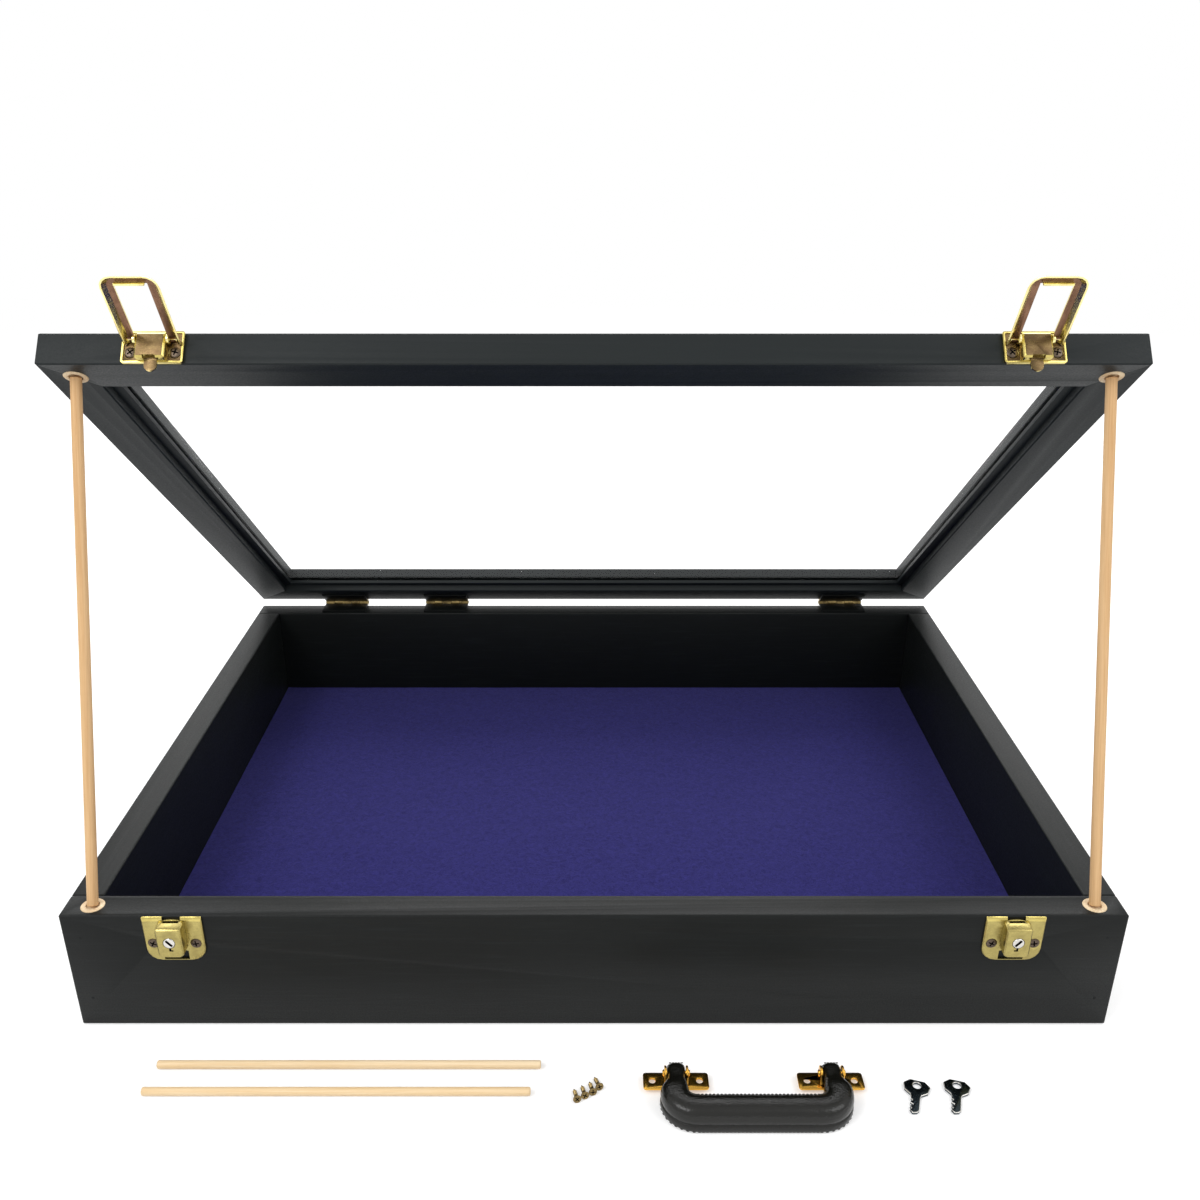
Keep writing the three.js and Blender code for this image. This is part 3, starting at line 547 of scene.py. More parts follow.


# Hinges
# Three pressed brass butt hinges with rolled knuckles, each leaf held by three small countersunk
# screws. The leaves have the boards' black lacquer, and only the knuckles show brass, made dark.
def worn_brass(name, base, dark, roughness, tarnish):
    """Brushed brass: fine scratches along X that streak its gloss, and blotches of tarnish. The
    scratches are drawn coarser than real ones, so that they show."""
    material, tree, shader = new_material(name)
    scratch_width = 0.00022
    scratch_stretch = 22
    blotch_size = 0.005263
    spot = add_node(tree, "TexCoord")
    along = add_node(
        tree,
        "Mapping",
        {"Vector": spot.outputs["Object"], "Scale": (scratch_stretch, 1, 1)},
        vector_type="TEXTURE",
    )
    scratch = add_node(
        tree,
        "TexNoise",
        {"Vector": along.outputs[0], "Scale": 1 / scratch_width, "Detail": 3, "Roughness": 0.7},
    )
    blotch = add_node(
        tree,
        "TexNoise",
        {
            "Vector": spot.outputs["Object"],
            "Scale": 1 / blotch_size,
            "Detail": 5,
            "Roughness": 0.6,
        },
    )
    amount = add_node(
        tree,
        "MapRange",
        {"Value": blotch.outputs[0], "From Min": 0.42, "From Max": 0.72, "To Max": tarnish},
    )
    colour = add_node(
        tree, "Mix", {0: amount.outputs[0], 6: linear(base), 7: linear(dark)}, data_type="RGBA"
    )
    both = add_node(tree, "Math", {0: blotch.outputs[0], 1: scratch.outputs[0]}, operation="ADD")
    gloss = add_node(
        tree,
        "MapRange",
        {
            "Value": both.outputs[0],
            "From Min": 0.7,
            "From Max": 1.3,
            "To Min": roughness - 0.07,
            "To Max": roughness + 0.1,
        },
    )
    bump = add_node(
        tree, "Bump", {"Height": scratch.outputs[0], "Strength": 0.25, "Distance": 0.00003}
    )
    fill_inputs(
        tree,
        shader,
        {
            "Base Color": colour.outputs[2],
            "Roughness": gloss.outputs[0],
            "Normal": bump.outputs[0],
            "Metallic": 1.0,
        },
    )
    return material


def rubbed_metal(name, dark, light, shiny, dull):
    """A dark finish on metal that handling has worn lighter and duller in small patches."""
    material, tree, shader = new_material(name)
    patch_size = 0.0015
    spot = add_node(tree, "TexCoord")
    rub = add_node(
        tree, "TexNoise", {"Vector": spot.outputs["Object"], "Scale": 1 / patch_size, "Detail": 4}
    )
    colour = add_node(
        tree, "Mix", {0: rub.outputs[0], 6: linear(dark), 7: linear(light)}, data_type="RGBA"
    )
    gloss = add_node(tree, "MapRange", {"Value": rub.outputs[0], "To Min": shiny, "To Max": dull})
    fill_inputs(
        tree,
        shader,
        {"Base Color": colour.outputs[2], "Roughness": gloss.outputs[0], "Metallic": 1.0},
    )
    return material


def refinish(piece, material, faces):
    """Gives some of a piece's faces a second finish."""
    piece.data.materials.append(material)
    for number in faces:
        piece.data.polygons[number].material_index = len(piece.data.materials) - 1


def copy_of(piece, name):
    """A copy of a piece with its own mesh."""
    twin = bpy.data.objects.new(name, piece.data.copy())
    bpy.context.collection.objects.link(twin)
    return twin


def cutting_block(size, place=(0, 0, 0), turn=0):
    """A block to cut with, turned about Z."""
    bpy.ops.mesh.primitive_cube_add(size=1, location=place, rotation=(0, 0, turn))
    block = bpy.context.object
    block.dimensions = size
    apply_place(block)
    return block


def cut_away(piece, cutter, solver="EXACT"):
    """Cuts one piece out of another and deletes the cutter."""
    apply_modifier(piece, "BOOLEAN", operation="DIFFERENCE", object=cutter, solver=solver)
    bpy.data.objects.remove(cutter)


def cross_recess(piece, head, deep):
    """Cuts a cross recess into a screw head that faces up Z, and gives the numbers of its faces."""
    for turn in (0, math.pi / 2):
        cut_away(piece, cutting_block((1.25 * head, 0.27 * head, 2.4 * deep), turn=turn))
    inside = []
    for face in piece.data.polygons:
        height = face.center.z
        wall = face.normal.z < 0.5 and height > -1.2 * deep
        floor = face.normal.z > 0.9 and -1.3 * deep < height < -0.5 * deep
        if face.center.xy.length < 0.66 * head and (wall or floor):
            inside.append(face.index)
    return inside


def wood_screw(name, head, dome, shank, length):
    """A threaded countersunk wood screw with its rim at height 0, and its recess's faces. The head
    and the shank are given as radii."""
    pitch = 0.62 * shank
    root = 0.72 * shank
    cone = 1.15 * (head - shank)
    plain = 0.3 * length
    taper = 0.3 * length
    profile = [(0.0001, -length)]
    bottom = -length
    while bottom + pitch < -plain:
        wide = min(1.0, 0.25 + (bottom + length) / taper)
        profile += [(root * wide, bottom + 0.15 * pitch), (shank * wide, bottom + 0.6 * pitch)]
        bottom += pitch
    profile += [(0.8 * shank, bottom + 0.2 * pitch), (0.9 * shank, -cone), (head, -0.0001)]
    profile += [(head * math.cos(a), dome * math.sin(a)) for a in np.linspace(0.15, 1.4, 6)]
    screw = turned(name, profile, 32)
    recess = cross_recess(screw, head, 0.3 * head)
    select_only(screw)
    bpy.ops.object.shade_smooth_by_angle(angle=math.radians(35))
    return screw, recess


# The recesses of screws and locks are painted near black, as painted shade.
shade_speckle_size = 0.0006667
shadow_black, tree, shader = new_material("painted_shade_in_recesses")
spot = add_node(tree, "TexCoord")
shade_speckle = add_node(
    tree, "TexNoise", {"Vector": spot.outputs["Object"], "Scale": 1 / shade_speckle_size, "Detail": 3}
)
colour = add_node(
    tree, "Mix", {0: shade_speckle.outputs[0], 6: linear("#050404"), 7: linear("#120f0d")}, data_type="RGBA"
)
fill_inputs(
    tree,
    shader,
    {"Base Color": colour.outputs[2], "Roughness": 0.8, "Specular IOR Level": 0.15},
)

browned = rubbed_metal("browned_steel", "#3c332c", "#6f6255", 0.26, 0.5)
# The hinge brass is dark all over, its blotches nearly black.
hinge_brass = worn_brass("hinge_brass", "#9c8858", "#3c3226", 0.34, tarnish=0.9)
hinge_black = satin_lacquer("black_lacquered_leaf", (0, 0, 0))
leaf_screw, leaf_recess = wood_screw(
    "leaf_screw_pattern", head=0.0021, dome=0.00012, shank=0.0011, length=0.008
)
leaf_screw_spread = 0.0128
leaf_screw_sunk = 0.0001
knuckle_radius = 0.0036
hinge_count = sum(name.endswith("_pin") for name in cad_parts)
for number in range(1, hinge_count + 1):
    pin_low, pin_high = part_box(f"hinge_{number}_pin")
    pin_middle = (pin_low + pin_high) / 2
    half_pin = (pin_high.x - pin_low.x) / 2
    radius = (pin_high.z - pin_low.z) / 2
    for body, up in (("case", Vector((0, 0, 1))), ("lid", -lid_up)):
        node = f"hinge_{number}_{body}_leaf"
        leaf = worked_copy(node, f"{node}_plate", 0.00012, 2)
        settle(leaf, body, "brass", hinge_brass, node)
        faces = leaf.data.polygons
        outer = [f for f in faces if (f.center - pin_middle).yz.length > knuckle_radius]
        refinish(leaf, hinge_black, [f.index for f in outer])
        flat = [f for f in outer if f.normal.dot(up) > 0.99]
        middle = sum((f.center * f.area for f in flat), Vector()) / sum(f.area for f in flat)
        for count, across in enumerate((-leaf_screw_spread, 0, leaf_screw_spread), 1):
            screw = copy_of(leaf_screw, f"{node}_screw_{count}")
            seat = middle + Vector((across, 0, 0)) - up * leaf_screw_sunk
            settle(stand(screw, seat, up), body, "browned_steel", browned)
            refinish(screw, shadow_black, leaf_recess)
    dome = radius * 0.45
    pin_end = [(radius * 0.3, 0), (radius * 0.8, dome * 0.3), (radius, dome)]
    pin_profile = [(wide, -half_pin + inset) for wide, inset in pin_end]
    pin_profile += [(wide, half_pin - inset) for wide, inset in reversed(pin_end)]
    pin = stand(turned(f"hinge_{number}_rod", pin_profile, 24), pin_middle, (1, 0, 0))
    settle(pin, "case", "brass", hinge_brass, f"hinge_{number}_pin")
bpy.data.objects.remove(leaf_screw)


# Props and their bushes
# Each prop is a 1/4 inch birch dowel, sawn and sanded. It stands in two dished birch bushes, one
# let into the front board and one into the lid's corner, where the lacquer stops at a bare ring.
def bare_birch(name, grain_turn, light, dark):
    """Bare birch whose long fibres run along Z, turned by the three angles. It is dull, pale and
    finely streaked."""
    material, tree, shader = new_material(name)
    fibre_width = 0.0009
    fibre_stretch = 45
    streak_width = 0.007692
    spot = add_node(tree, "TexCoord")
    along = add_node(
        tree,
        "Mapping",
        {"Vector": spot.outputs["Object"], "Rotation": grain_turn, "Scale": (1, 1, fibre_stretch)},
        vector_type="TEXTURE",
    )
    fibre = add_node(
        tree,
        "TexNoise",
        {"Vector": along.outputs[0], "Scale": 1 / fibre_width, "Detail": 4, "Roughness": 0.6},
    )
    streak = add_node(
        tree, "TexNoise", {"Vector": along.outputs[0], "Scale": 1 / streak_width, "Detail": 2}
    )
    mixed = add_node(tree, "Math", {0: fibre.outputs[0], 1: streak.outputs[0]}, operation="ADD")
    amount = add_node(
        tree, "MapRange", {"Value": mixed.outputs[0], "From Min": 0.75, "From Max": 1.3}
    )
    colour = add_node(
        tree, "Mix", {0: amount.outputs[0], 6: linear(light), 7: linear(dark)}, data_type="RGBA"
    )
    bump = add_node(
        tree, "Bump", {"Height": fibre.outputs[0], "Strength": 0.4, "Distance": 0.0001}
    )
    fill_inputs(
        tree,
        shader,
        {
            "Base Color": colour.outputs[2],
            "Normal": bump.outputs[0],
            "Roughness": 0.62,
            "Specular IOR Level": 0.35,
        },
    )
    return material


def spindle(node):
    """The middle, direction and length of a straight piece, from its own mesh. The direction goes
    up, or to the right where the piece lies flat."""
    points = np.array([v.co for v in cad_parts[node].data.vertices])
    middle = (points.max(0) + points.min(0)) / 2
    direction = np.linalg.svd(points - middle, full_matrices=False)[2][0]
    direction *= 1 if direction[2] > 1e-3 or direction[0] > 0.5 else -1
    along = (points - middle) @ direction
    return Vector(middle), Vector(direction), float(along.max() - along.min())


def dowel(name, node, radius):
    """A dowel with softly sanded ends, in the place of a solid."""
    middle, direction, length = spindle(node)
    ease = 0.0005
    profile = [
        (radius - ease, -length / 2),
        (radius, -length / 2 + ease),
        (radius, length / 2 - ease),
        (radius - ease, length / 2),
    ]
    piece = turned(name, profile)
    round_edges(piece, 0.0002, 2, 30)
    return stand(piece, middle, direction)


def reach_along(node, direction):
    """The point on a turned solid's axis that lies furthest along the direction."""
    points = np.array([v.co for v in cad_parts[node].data.vertices])
    middle = Vector((points.max(0) + points.min(0)) / 2)
    far = max(Vector(p).dot(direction) for p in points)
    return middle + direction * (far - middle.dot(direction))


_, prop_way, _ = spindle("prop_left")
prop_tilt = math.atan2(prop_way.y, prop_way.z)
prop_birch = bare_birch("birch_prop", (-prop_tilt, 0, 0), "#dcb585", "#c29461")
bush_birch = bare_birch("birch_bush", (0, 0, 0), "#ecd9b8", "#cdaa7c")
bush_long = 0.0083
bush_ring = 0.0028
bush_ease = 0.0003
dish_deep = 0.0016
for side in ("left", "right"):
    node = f"prop_{side}"
    low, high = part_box(node)
    piece = dowel(f"prop_dowel_{side}", node, (high.x - low.x) / 2)
    settle(piece, node, "birch", prop_birch, node)
    for body, way in (("case", Vector((0, 0, 1))), ("lid", -lid_up)):
        node = f"{body}_bush_{side}"
        low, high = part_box(node)
        rim = reach_along(node, way)
        radius = (high.x - low.x) / 2
        profile = [
            (radius, -bush_long),
            (radius, -bush_ease),
            (radius - bush_ease, 0),
            (radius - bush_ring, 0),
            (radius - bush_ring, -dish_deep),
        ]
        bush = turned(f"{body}_bush_ring_{side}", profile)
        round_edges(bush, 0.00015, 2, 30)
        settle(stand(bush, rim, way), body, "birch", bush_birch, node)


# Draw latches
# Pressed brass with lacquered brush marks. The lock half has a plate, a box-shaped housing, and a
# nickel-plated plug and bolt. The catch half has a rimmed plate, a cap over the pivot and a bail. The
# cap, the plate's floor and the bail's web are painted brown, and the bail's edges light gold, as
# painted reflections.
brass = worn_brass("brushed_brass", "#ab9d61", "#746641", 0.28, tarnish=0.45)
# A brown painted reflection for the catch's cap and floor.
brown_reflection_brass = worn_brass("brown_reflection_brass", "#605036", "#4f3d2c", 0.26, tarnish=0.8)
# The catch brass is lighter, and is also laid on the lock plate's top flange as a painted highlight.
catch_and_highlight_brass = worn_brass("catch_and_highlight_brass", "#c6b56b", "#9c8844", 0.22, tarnish=0.4)
# Brown and light gold painted reflections for the bail's web and edges.
brown_reflection_web_brass = worn_brass("brown_reflection_web_brass", "#7d5f4b", "#5f4638", 0.3, tarnish=0.7)
gold_reflection_brass = worn_brass("gold_reflection_brass", "#efe2a0", "#cdb468", 0.22, tarnish=0.4)

# Bright nickel plate, with a haze that makes its mirror uneven.
haze_size = 0.0011111
nickel, tree, shader = new_material("nickel_plate")
spot = add_node(tree, "TexCoord")
haze = add_node(
    tree, "TexNoise", {"Vector": spot.outputs["Object"], "Scale": 1 / haze_size, "Detail": 3}
)
gloss = add_node(tree, "MapRange", {"Value": haze.outputs[0], "To Min": 0.14, "To Max": 0.34})
fill_inputs(
    tree,
    shader,
    {"Base Color": linear("#cfccc6"), "Roughness": gloss.outputs[0], "Metallic": 1.0},
)


def turned_copy(pattern, name, turn):
    """A copy of a screw that was made up Z, driven round by the turn."""
    screw = copy_of(pattern, name)
    screw.rotation_euler.z = turn
    apply_place(screw)
    return screw


case_front_way = Vector((0, -1, 0))
pressed_round = 0.00022
screw_proud = 0.0006
window_wide, window_high, window_up = 0.0144, 0.0061, 0.00415
window_cut = 0.02
flange_high = 0.003
housing_wall = 0.001
housing_skin = 0.0003
housing_top = 0.0019
slot_radius = 0.0026
slot_from, slot_to = 0.00035, 0.0036
rim_depth, rim_slack = 0.005, 0.0004
web_step = 0.001
plate_screw, plate_recess = wood_screw(
    "plate_screw_pattern", head=0.0031, dome=screw_proud, shank=0.00135, length=0.0125
)
for side in ("left", "right"):
    # The plate has a window for the bail's hooked lip. Its up-facing top flange is painted in the
    # lighter catch brass, as a painted highlight.
    node = f"lock_plate_{side}"
    plate = worked_copy(node, f"lock_plate_pressing_{side}", pressed_round)
    low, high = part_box(node)
    window_place = ((low.x + high.x) / 2, low.y, low.z + window_up)
    window = cutting_block((window_wide, window_cut, window_high), window_place)
    cut_away(plate, window, "MANIFOLD")
    select_only(plate)
    bpy.ops.object.shade_smooth_by_angle(angle=smooth_below)
    settle(plate, "case", "brass", brass, node)
    flange_highlight = [
        face.index
        for face in plate.data.polygons
        if face.normal.z > 0.15 and face.center.z > high.z - flange_high
    ]
    refinish(plate, catch_and_highlight_brass, flange_highlight)

    # The housing is a shell, painted dark on the inside as painted shade.
    node = f"lock_housing_{side}"
    housing = worked_copy(node, f"lock_housing_shell_{side}", 0.00025)
    settle(housing, "case", "brass", brass, node)
    low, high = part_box(node)
    inside = []
    for face in housing.data.polygons:
        x, y, z = face.center
        deep = min(x - low.x, high.x - x, z - low.z)
        if deep > housing_wall and y > low.y + housing_skin and z < high.z - housing_top:
            inside.append(face.index)
    refinish(housing, shadow_black, inside)

    # The bolt slides down behind the window, and the plug's key slot is painted dark as painted shade.
    node = f"lock_bolt_{side}"
    settle(worked_copy(node, f"lock_bolt_slider_{side}", 0.0001, 2), node, "nickel", nickel, node)
    node = f"lock_plug_{side}"
    plug = worked_copy(node, f"lock_plug_barrel_{side}", 0.0001, 2, 28)
    settle(plug, node, "nickel", nickel, node)
    low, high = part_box(node)
    axis = Vector(((low.x + high.x) / 2, 0, (low.z + high.z) / 2))
    slot = []
    for face in plug.data.polygons:
        behind_face = face.center.y - low.y
        if slot_from < behind_face < slot_to and (face.center - axis).xz.length < slot_radius:
            slot.append(face.index)
    refinish(plug, shadow_black, slot)

    # The catch's cap and floor are painted brown as a painted reflection, and only its rim keeps the
    # lighter brass. The rim lies behind the cap by the rim's depth.
    node = f"catch_plate_{side}"
    catch = worked_copy(node, f"catch_pressing_{side}", 0.0002)
    settle(catch, "lid", "brass", catch_and_highlight_brass, node)
    broad = [f for f in catch.data.polygons if f.normal.dot(lid_front_way) > 0.98]
    forward = {f.index: f.center.dot(lid_front_way) for f in broad}
    rim_forward = max(forward.values()) - rim_depth
    off_rim = [number for number, reach in forward.items() if abs(rim_forward - reach) > rim_slack]
    refinish(catch, brown_reflection_brass, off_rim)

    for half, body, way in (("lock", "case", case_front_way), ("catch", "lid", lid_front_way)):
        for number in (1, 2):
            node = f"{half}_screw_{side}_{number}"
            seat = reach_along(node, way) - way * screw_proud
            driven = 0.6 * number + (0.5 if half == "lock" else 0.1)
            screw = turned_copy(plate_screw, f"{half}_plate_screw_{side}_{number}", driven)
            settle(stand(screw, seat, way), body, "browned_steel", browned, node)
            refinish(screw, shadow_black, plate_recess)

    # The bail's flared edges are painted light gold and its web, a step behind them, browner. Both
    # tones are painted reflections.
    node = f"bail_{side}"
    bail = worked_copy(node, f"bail_pressing_{side}", pressed_round)
    settle(bail, node, "brass", gold_reflection_brass, node)
    inward = -largest_face_normal(node)
    web = {f.index: f.center.dot(inward) for f in bail.data.polygons if f.normal.dot(inward) > 0.9}
    web_end = min(web.values()) + web_step
    refinish(bail, brown_reflection_web_brass, [number for number, depth in web.items() if depth < web_end])
bpy.data.objects.remove(plate_screw)


# Spare dowels
# Two thinner birch dowels, cut for a lower opening, lie loose on the table. They are of paler wood
# than the props.
spare_birch = bare_birch("birch_spare", (0, math.pi / 2, 0), "#f7e0bb", "#e6c594")
for where in ("rear", "front"):
    node = f"loose_dowel_{where}"
    low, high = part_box(node)
    piece = dowel(f"spare_dowel_{where}", node, (high.z - low.z) / 2)
    settle(piece, node, "birch", spare_birch, node)


# Handle
# A firm U-shaped grip covered in black grained leatherette. The cover is crowned above and pinched
# into a seam over a flat side band, and stitched along its edges. A gilt steel bracket is riveted
# to each leg.

# Black vinyl on cloth, pressed with a pebbled grain. Handling has polished it in places, so its
# gloss comes and goes.
pebble_size = 0.0009
crease_size = 0.0019231
rub_size = 0.016667
leatherette, tree, shader = new_material("grained_leatherette")
spot = add_node(tree, "TexCoord")
pebble = add_node(
    tree,
    "TexVoronoi",
    {"Vector": spot.outputs["Object"], "Scale": 1 / pebble_size},
    feature="SMOOTH_F1",
)
crease = add_node(
    tree, "TexNoise", {"Vector": spot.outputs["Object"], "Scale": 1 / crease_size, "Detail": 4}
)
rubbed = add_node(
    tree, "TexNoise", {"Vector": spot.outputs["Object"], "Scale": 1 / rub_size, "Detail": 2}
)
mixed = add_node(
    tree, "Math", {0: pebble.outputs["Distance"], 1: crease.outputs[0]}, operation="ADD"
)
bump = add_node(
    tree, "Bump", {"Height": mixed.outputs[0], "Strength": 0.6, "Distance": 0.0002}, invert=True
)
gloss = add_node(tree, "MapRange", {"Value": rubbed.outputs[0], "To Min": 0.12, "To Max": 0.34})
colour = add_node(
    tree, "Mix", {0: crease.outputs[0], 6: linear("#070706"), 7: linear("#14140f")}, data_type="RGBA"
)
fill_inputs(
    tree,
    shader,
    {
        "Base Color": colour.outputs[2],
        "Roughness": gloss.outputs[0],
        "Normal": bump.outputs[0],
        "Specular IOR Level": 0.38,
    },
)

# Waxed black thread. Its twist shows as fine slanting bands, greyer than the leatherette.
twist_size = 0.0007143
waxed_thread, tree, shader = new_material("waxed_black_thread")
spot = add_node(tree, "TexCoord")
twist = add_node(
    tree,
    "TexWave",
    {"Vector": spot.outputs["Object"], "Scale": 1 / twist_size, "Distortion": 1.5},
    bands_direction="DIAGONAL",
)
bump = add_node(tree, "Bump", {"Height": twist.outputs[1], "Strength": 0.5, "Distance": 0.00008})
colour = add_node(
    tree, "Mix", {0: twist.outputs[1], 6: linear("#161613"), 7: linear("#33322b")}, data_type="RGBA"
)
fill_inputs(
    tree,
    shader,
    {"Base Color": colour.outputs[2], "Normal": bump.outputs[0], "Roughness": 0.5},
)

# The grip runs forward from the brackets along each leg, round a bend and across the bar. The legs
# are slimmer than the bar, and swell into it.
low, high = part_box("handle_grip")
grip_place = Vector(((low.x + high.x) / 2, high.y, 0))
grip_legs, grip_spread = 0.0432, 0.0448
grip_bend, leg_run = 0.0115, 0.019
bend_run = grip_bend * math.pi / 2
half_run = leg_run + bend_run + grip_spread - grip_bend
leg_height = 0.0092
bar_height = 0.0075
swell_from, swell_run = 0.0095, 0.0085
spread_from, spread_run = 0.007, 0.012

# Half of the bar's section in millimetres, from below, with the pinch at its side. The leg's
# section is the same one, made narrower and lower.
cover_half = [(0, -7.5), (4.5, -7.5), (7.3, -7.25), (8.2, -6.3), (8.25, -4.4), (8, -2.9), (7, -2.2)]
cover_half += [(7.75, -1.6), (8.1, -0.2), (7.9, 2.5), (7.1, 4.9), (5.3, 6.7), (2.7, 7.4), (0, 7.5)]
outline = [*cover_half, *((-across, up) for across, up in reversed(cover_half[1:-1]))]
leg_wide, leg_high = 10.4 / 16.5, 9.4 / 15


def eased(share):
    """Goes smoothly from 0 to 1."""
    share = min(max(share, 0.0), 1.0)
    return share * share * (3 - 2 * share)


def along_grip(run):
    """Place, turn, width and height shares of the grip's section, from the right leg to the middle."""
    swell = eased((run - swell_from) / swell_run)
    turn = 0.0
    if run < leg_run:
        splay = eased((run - spread_from) / spread_run)
        x, y = grip_legs + (grip_spread - grip_legs) * splay, -run
    elif run < leg_run + bend_run:
        turn = (run - leg_run) / grip_bend
        x = grip_spread - grip_bend + grip_bend * math.cos(turn)
        y = -leg_run - grip_bend * math.sin(turn)
    else:
        turn = math.pi / 2
        x, y = half_run - run, -leg_run - grip_bend
    z = leg_height + (bar_height - leg_height) * swell
    wide, tall = leg_wide + (1 - leg_wide) * swell, leg_high + (1 - leg_high) * swell
    return Vector((x, y, z)), turn, wide, tall


# Each step is a distance along the grip and a share of its height there. The leg's end is rounded.
bend_steps, bar_steps = 8, 5
steps = [(0.0002, 0.55), (0.0008, 0.76), (0.0019, 0.93), (0.0034, 1.0)]
steps += [(run, 1.0) for run in (0.006, 0.0085, 0.0105, 0.0125, 0.0145, 0.0165, 0.0185)]
steps += [(leg_run + bend_run * n / bend_steps, 1.0) for n in range(1, bend_steps + 1)]
bar_run = grip_spread - grip_bend
steps += [(leg_run + bend_run + bar_run * n / bar_steps, 1.0) for n in range(1, bar_steps + 1)]
place, turn, wide, tall = along_grip(steps[0][0])
tall *= steps[0][1]
bpy.ops.mesh.primitive_circle_add(
    vertices=len(outline), radius=0.01, fill_type="NGON", location=(0, 0, 0)
)
grip = bpy.context.object
grip.name = "grip_cover"
for vertex, (across, up) in zip(grip.data.vertices, outline, strict=True):
    vertex.co = place + Vector((across * wide, 0, up * tall)) / 1000
bpy.ops.object.mode_set(mode="EDIT")
bpy.ops.mesh.select_all(action="SELECT")
for run, height_share in steps[1:]:
    next_place, next_turn, next_wide, next_tall = along_grip(run)
    next_tall *= height_share
    grow = (next_wide / wide, 1, next_tall / tall)
    bpy.ops.mesh.extrude_region_move(TRANSFORM_OT_translate={"value": next_place - place})
    bpy.ops.transform.resize(value=grow, center_override=next_place)
    bpy.ops.transform.rotate(value=next_turn - turn, orient_axis="Z", center_override=next_place)
    place, turn, wide, tall = next_place, next_turn, next_wide, next_tall
bpy.ops.mesh.delete(type="ONLY_FACE")
bpy.ops.object.mode_set(mode="OBJECT")
apply_modifier(grip, "MIRROR", use_axis=(True, False, False), merge_threshold=0.00002)

# The two leg ends are inset, so that they stay flat when the cover is smoothed.
bpy.ops.object.mode_set(mode="EDIT")
bpy.ops.mesh.select_all(action="DESELECT")
bpy.ops.object.mode_set(mode="OBJECT")
for face in grip.data.polygons:
    face.select = len(face.vertices) == len(outline)
bpy.ops.object.mode_set(mode="EDIT")
bpy.ops.mesh.inset(thickness=0.0005, use_individual=True)
bpy.ops.mesh.select_all(action="SELECT")
bpy.ops.mesh.normals_make_consistent(inside=False)
bpy.ops.object.mode_set(mode="OBJECT")
apply_modifier(grip, "SUBSURF", levels=2)
bpy.ops.object.shade_smooth()
grip.location = grip_place
settle(grip, "handle", "leatherette", leatherette, "handle_grip")

# A row of stitches runs along the inner edge above and the outer edge below, and a short one
# across each leg's end. The rows' places are in the bar's section, in millimetres.
stitch_pitch = 0.0021
stitch_rows = ((-6.4, 5.85), (7.75, -6.75))
rows_from = 0.0115
end_row_run = 0.0009
end_pitch = 0.0016
bpy.ops.mesh.primitive_uv_sphere_add(segments=8, ring_count=5, radius=1, location=(0, 0, 0))
stitch = bpy.context.object
stitch.scale = (0.00036, 0.00095, 0.00036)
apply_place(stitch)
stitches = []


def sew(place, turn):
    """Sets one stitch of the cover, with its mirror image on the other half of the grip."""
    for hand in (1, -1):
        one = copy_of(stitch, "grip_stitch")
        spot = grip_place + Vector((hand * place.x, place.y, place.z))
        one.matrix_world = Matrix.Translation(spot) @ Matrix.Rotation(-hand * turn, 4, "Z")
        stitches.append(one)


for across, up in stitch_rows:
    for number in range(int((half_run - rows_from) / stitch_pitch)):
        place, turn, wide, tall = along_grip(half_run - (number + 0.5) * stitch_pitch)
        outward = Vector((math.cos(turn), -math.sin(turn), 0))
        sew(place + (outward * across * wide + Vector((0, 0, up * tall))) / 1000, turn)
place, turn, wide, tall = along_grip(end_row_run)
for number in range(-2, 3):
    sew(place + Vector((number * end_pitch, 0, 0.8 * tall * bar_height)), math.pi / 2)
bpy.data.objects.remove(stitch)
thread = join_all("grip_stitching", stitches)
bpy.ops.object.shade_smooth()
settle(thread, "handle", "leatherette", waxed_thread)

gilt = worn_brass("gilt_plate", "#e9b550", "#b07a26", 0.16, tarnish=0.4)
for side in ("left", "right"):
    node = f"handle_bracket_{side}"
    settle(worked_copy(node, f"grip_bracket_{side}", 0.0002), node, "gilt", gilt, node)
    node = f"handle_rivet_{side}"
    settle(worked_copy(node, f"grip_rivet_{side}", 0.00015, 2), "handle", "gilt", gilt, node)


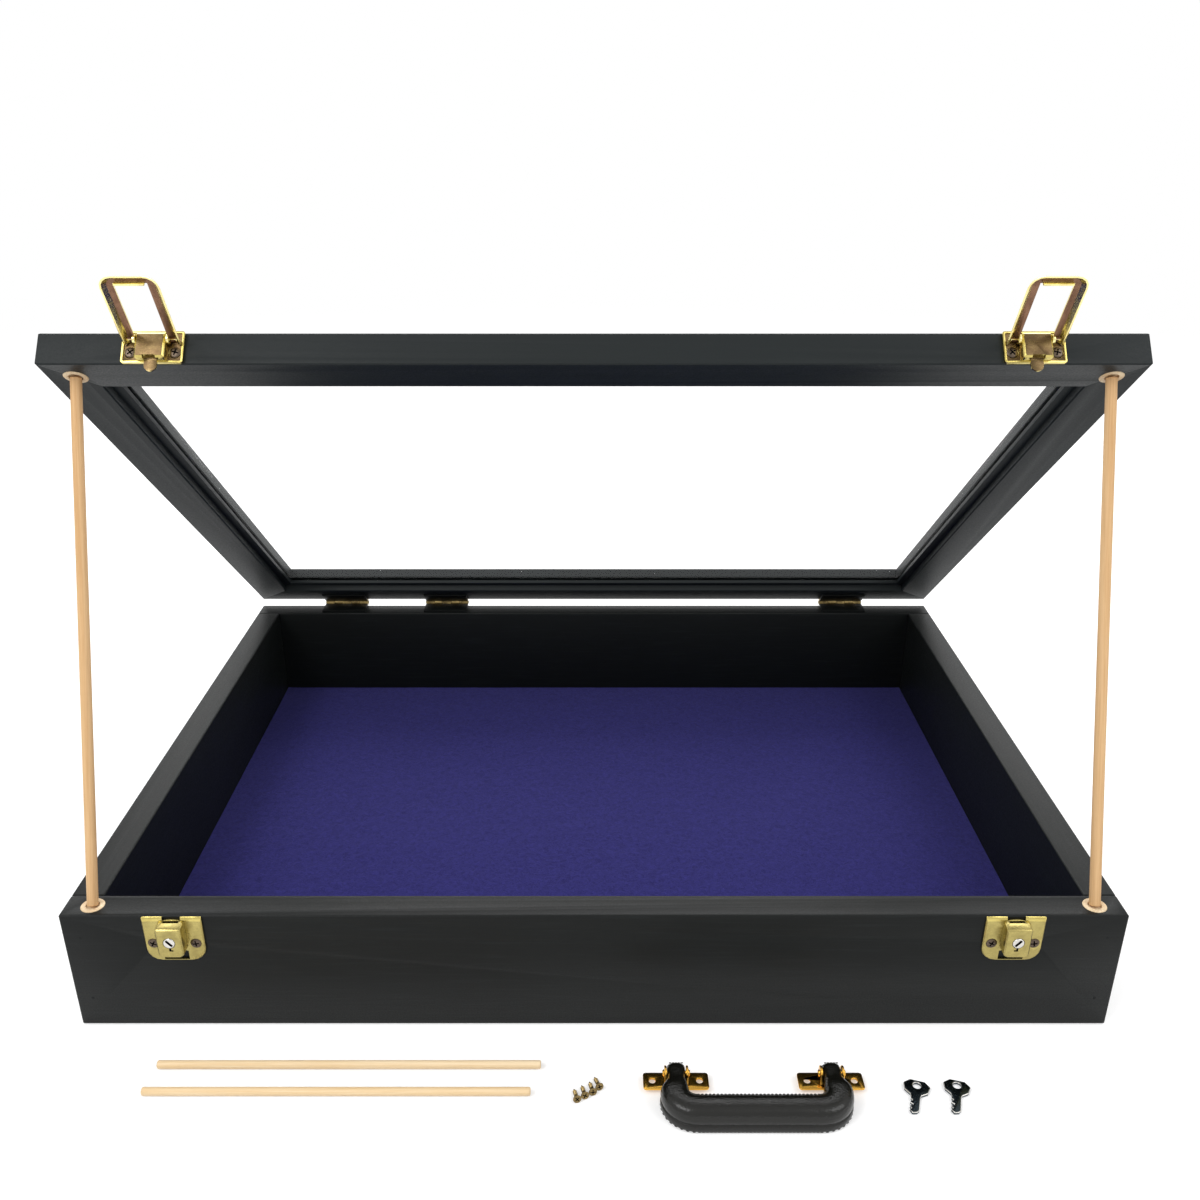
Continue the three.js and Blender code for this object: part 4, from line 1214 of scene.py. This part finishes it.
# Keys
# Flat pressed keys with an angular bow, a ring hole, a raised stop and a cut blade with a milled
# groove, in dark nickel-plated steel. The slopes round their upper faces are rubbed bright.
dark_nickel = rubbed_metal("dark_nickel", "#232c31", "#4f5a60", 0.15, 0.35)
rubbed_deep = 0.0006
for side in ("left", "right"):
    node = f"key_{side}"
    key = worked_copy(node, f"flat_key_{side}", 0.00028, 2)
    settle(key, node, "dark_steel", dark_nickel, node)
    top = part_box(node)[1].z
    slopes = [f for f in key.data.polygons if 0.2 < f.normal.z < 0.95]
    refinish(key, nickel, [f.index for f in slopes if f.center.z > top - rubbed_deep])


# Spare screws
# Four small bronzed wood screws in a row. Each lies on its head's rim and the first full turn of
# its thread, so that the head looks a little upward.
spare_head, spare_shank, spare_length = 0.0024, 0.00115, 0.0095
spare_screw, spare_recess = wood_screw(
    "spare_screw_pattern", head=spare_head, dome=0.0004, shank=spare_shank, length=spare_length
)
first_turn = 0.74 * spare_length
spare_lean = math.atan2(spare_head - spare_shank, first_turn)
bronzed = rubbed_metal("bronzed_steel", "#54452e", "#a58f60", 0.24, 0.46)

# A screw's place and heading come from the two ends of its solid, of which the wider is the head.
end_slice = 0.0006
for number in range(1, 5):
    node = f"loose_screw_{number}"
    points = [v.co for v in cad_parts[node].data.vertices]
    _, axis, _ = spindle(node)
    ends = []
    for way in (axis, -axis):
        far = max(p.dot(way) for p in points)
        end = [p for p in points if p.dot(way) > far - end_slice]
        centre = sum(end, Vector()) / len(end)
        ends.append((max((p - centre).length for p in end), centre))
    (_, point), (_, head) = sorted(ends, key=lambda end: end[0])
    heading = Vector((head.x - point.x, head.y - point.y, 0)).normalized()
    seat = Vector((head.x, head.y, spare_head * math.cos(spare_lean)))
    lying = heading * math.cos(spare_lean) + Vector((0, 0, math.sin(spare_lean)))
    screw = turned_copy(spare_screw, f"spare_screw_{number}", 0.5 + 0.4 * number)
    settle(stand(screw, seat, lying), node, "browned_steel", bronzed, node)
    refinish(screw, shadow_black, spare_recess)
bpy.data.objects.remove(spare_screw)
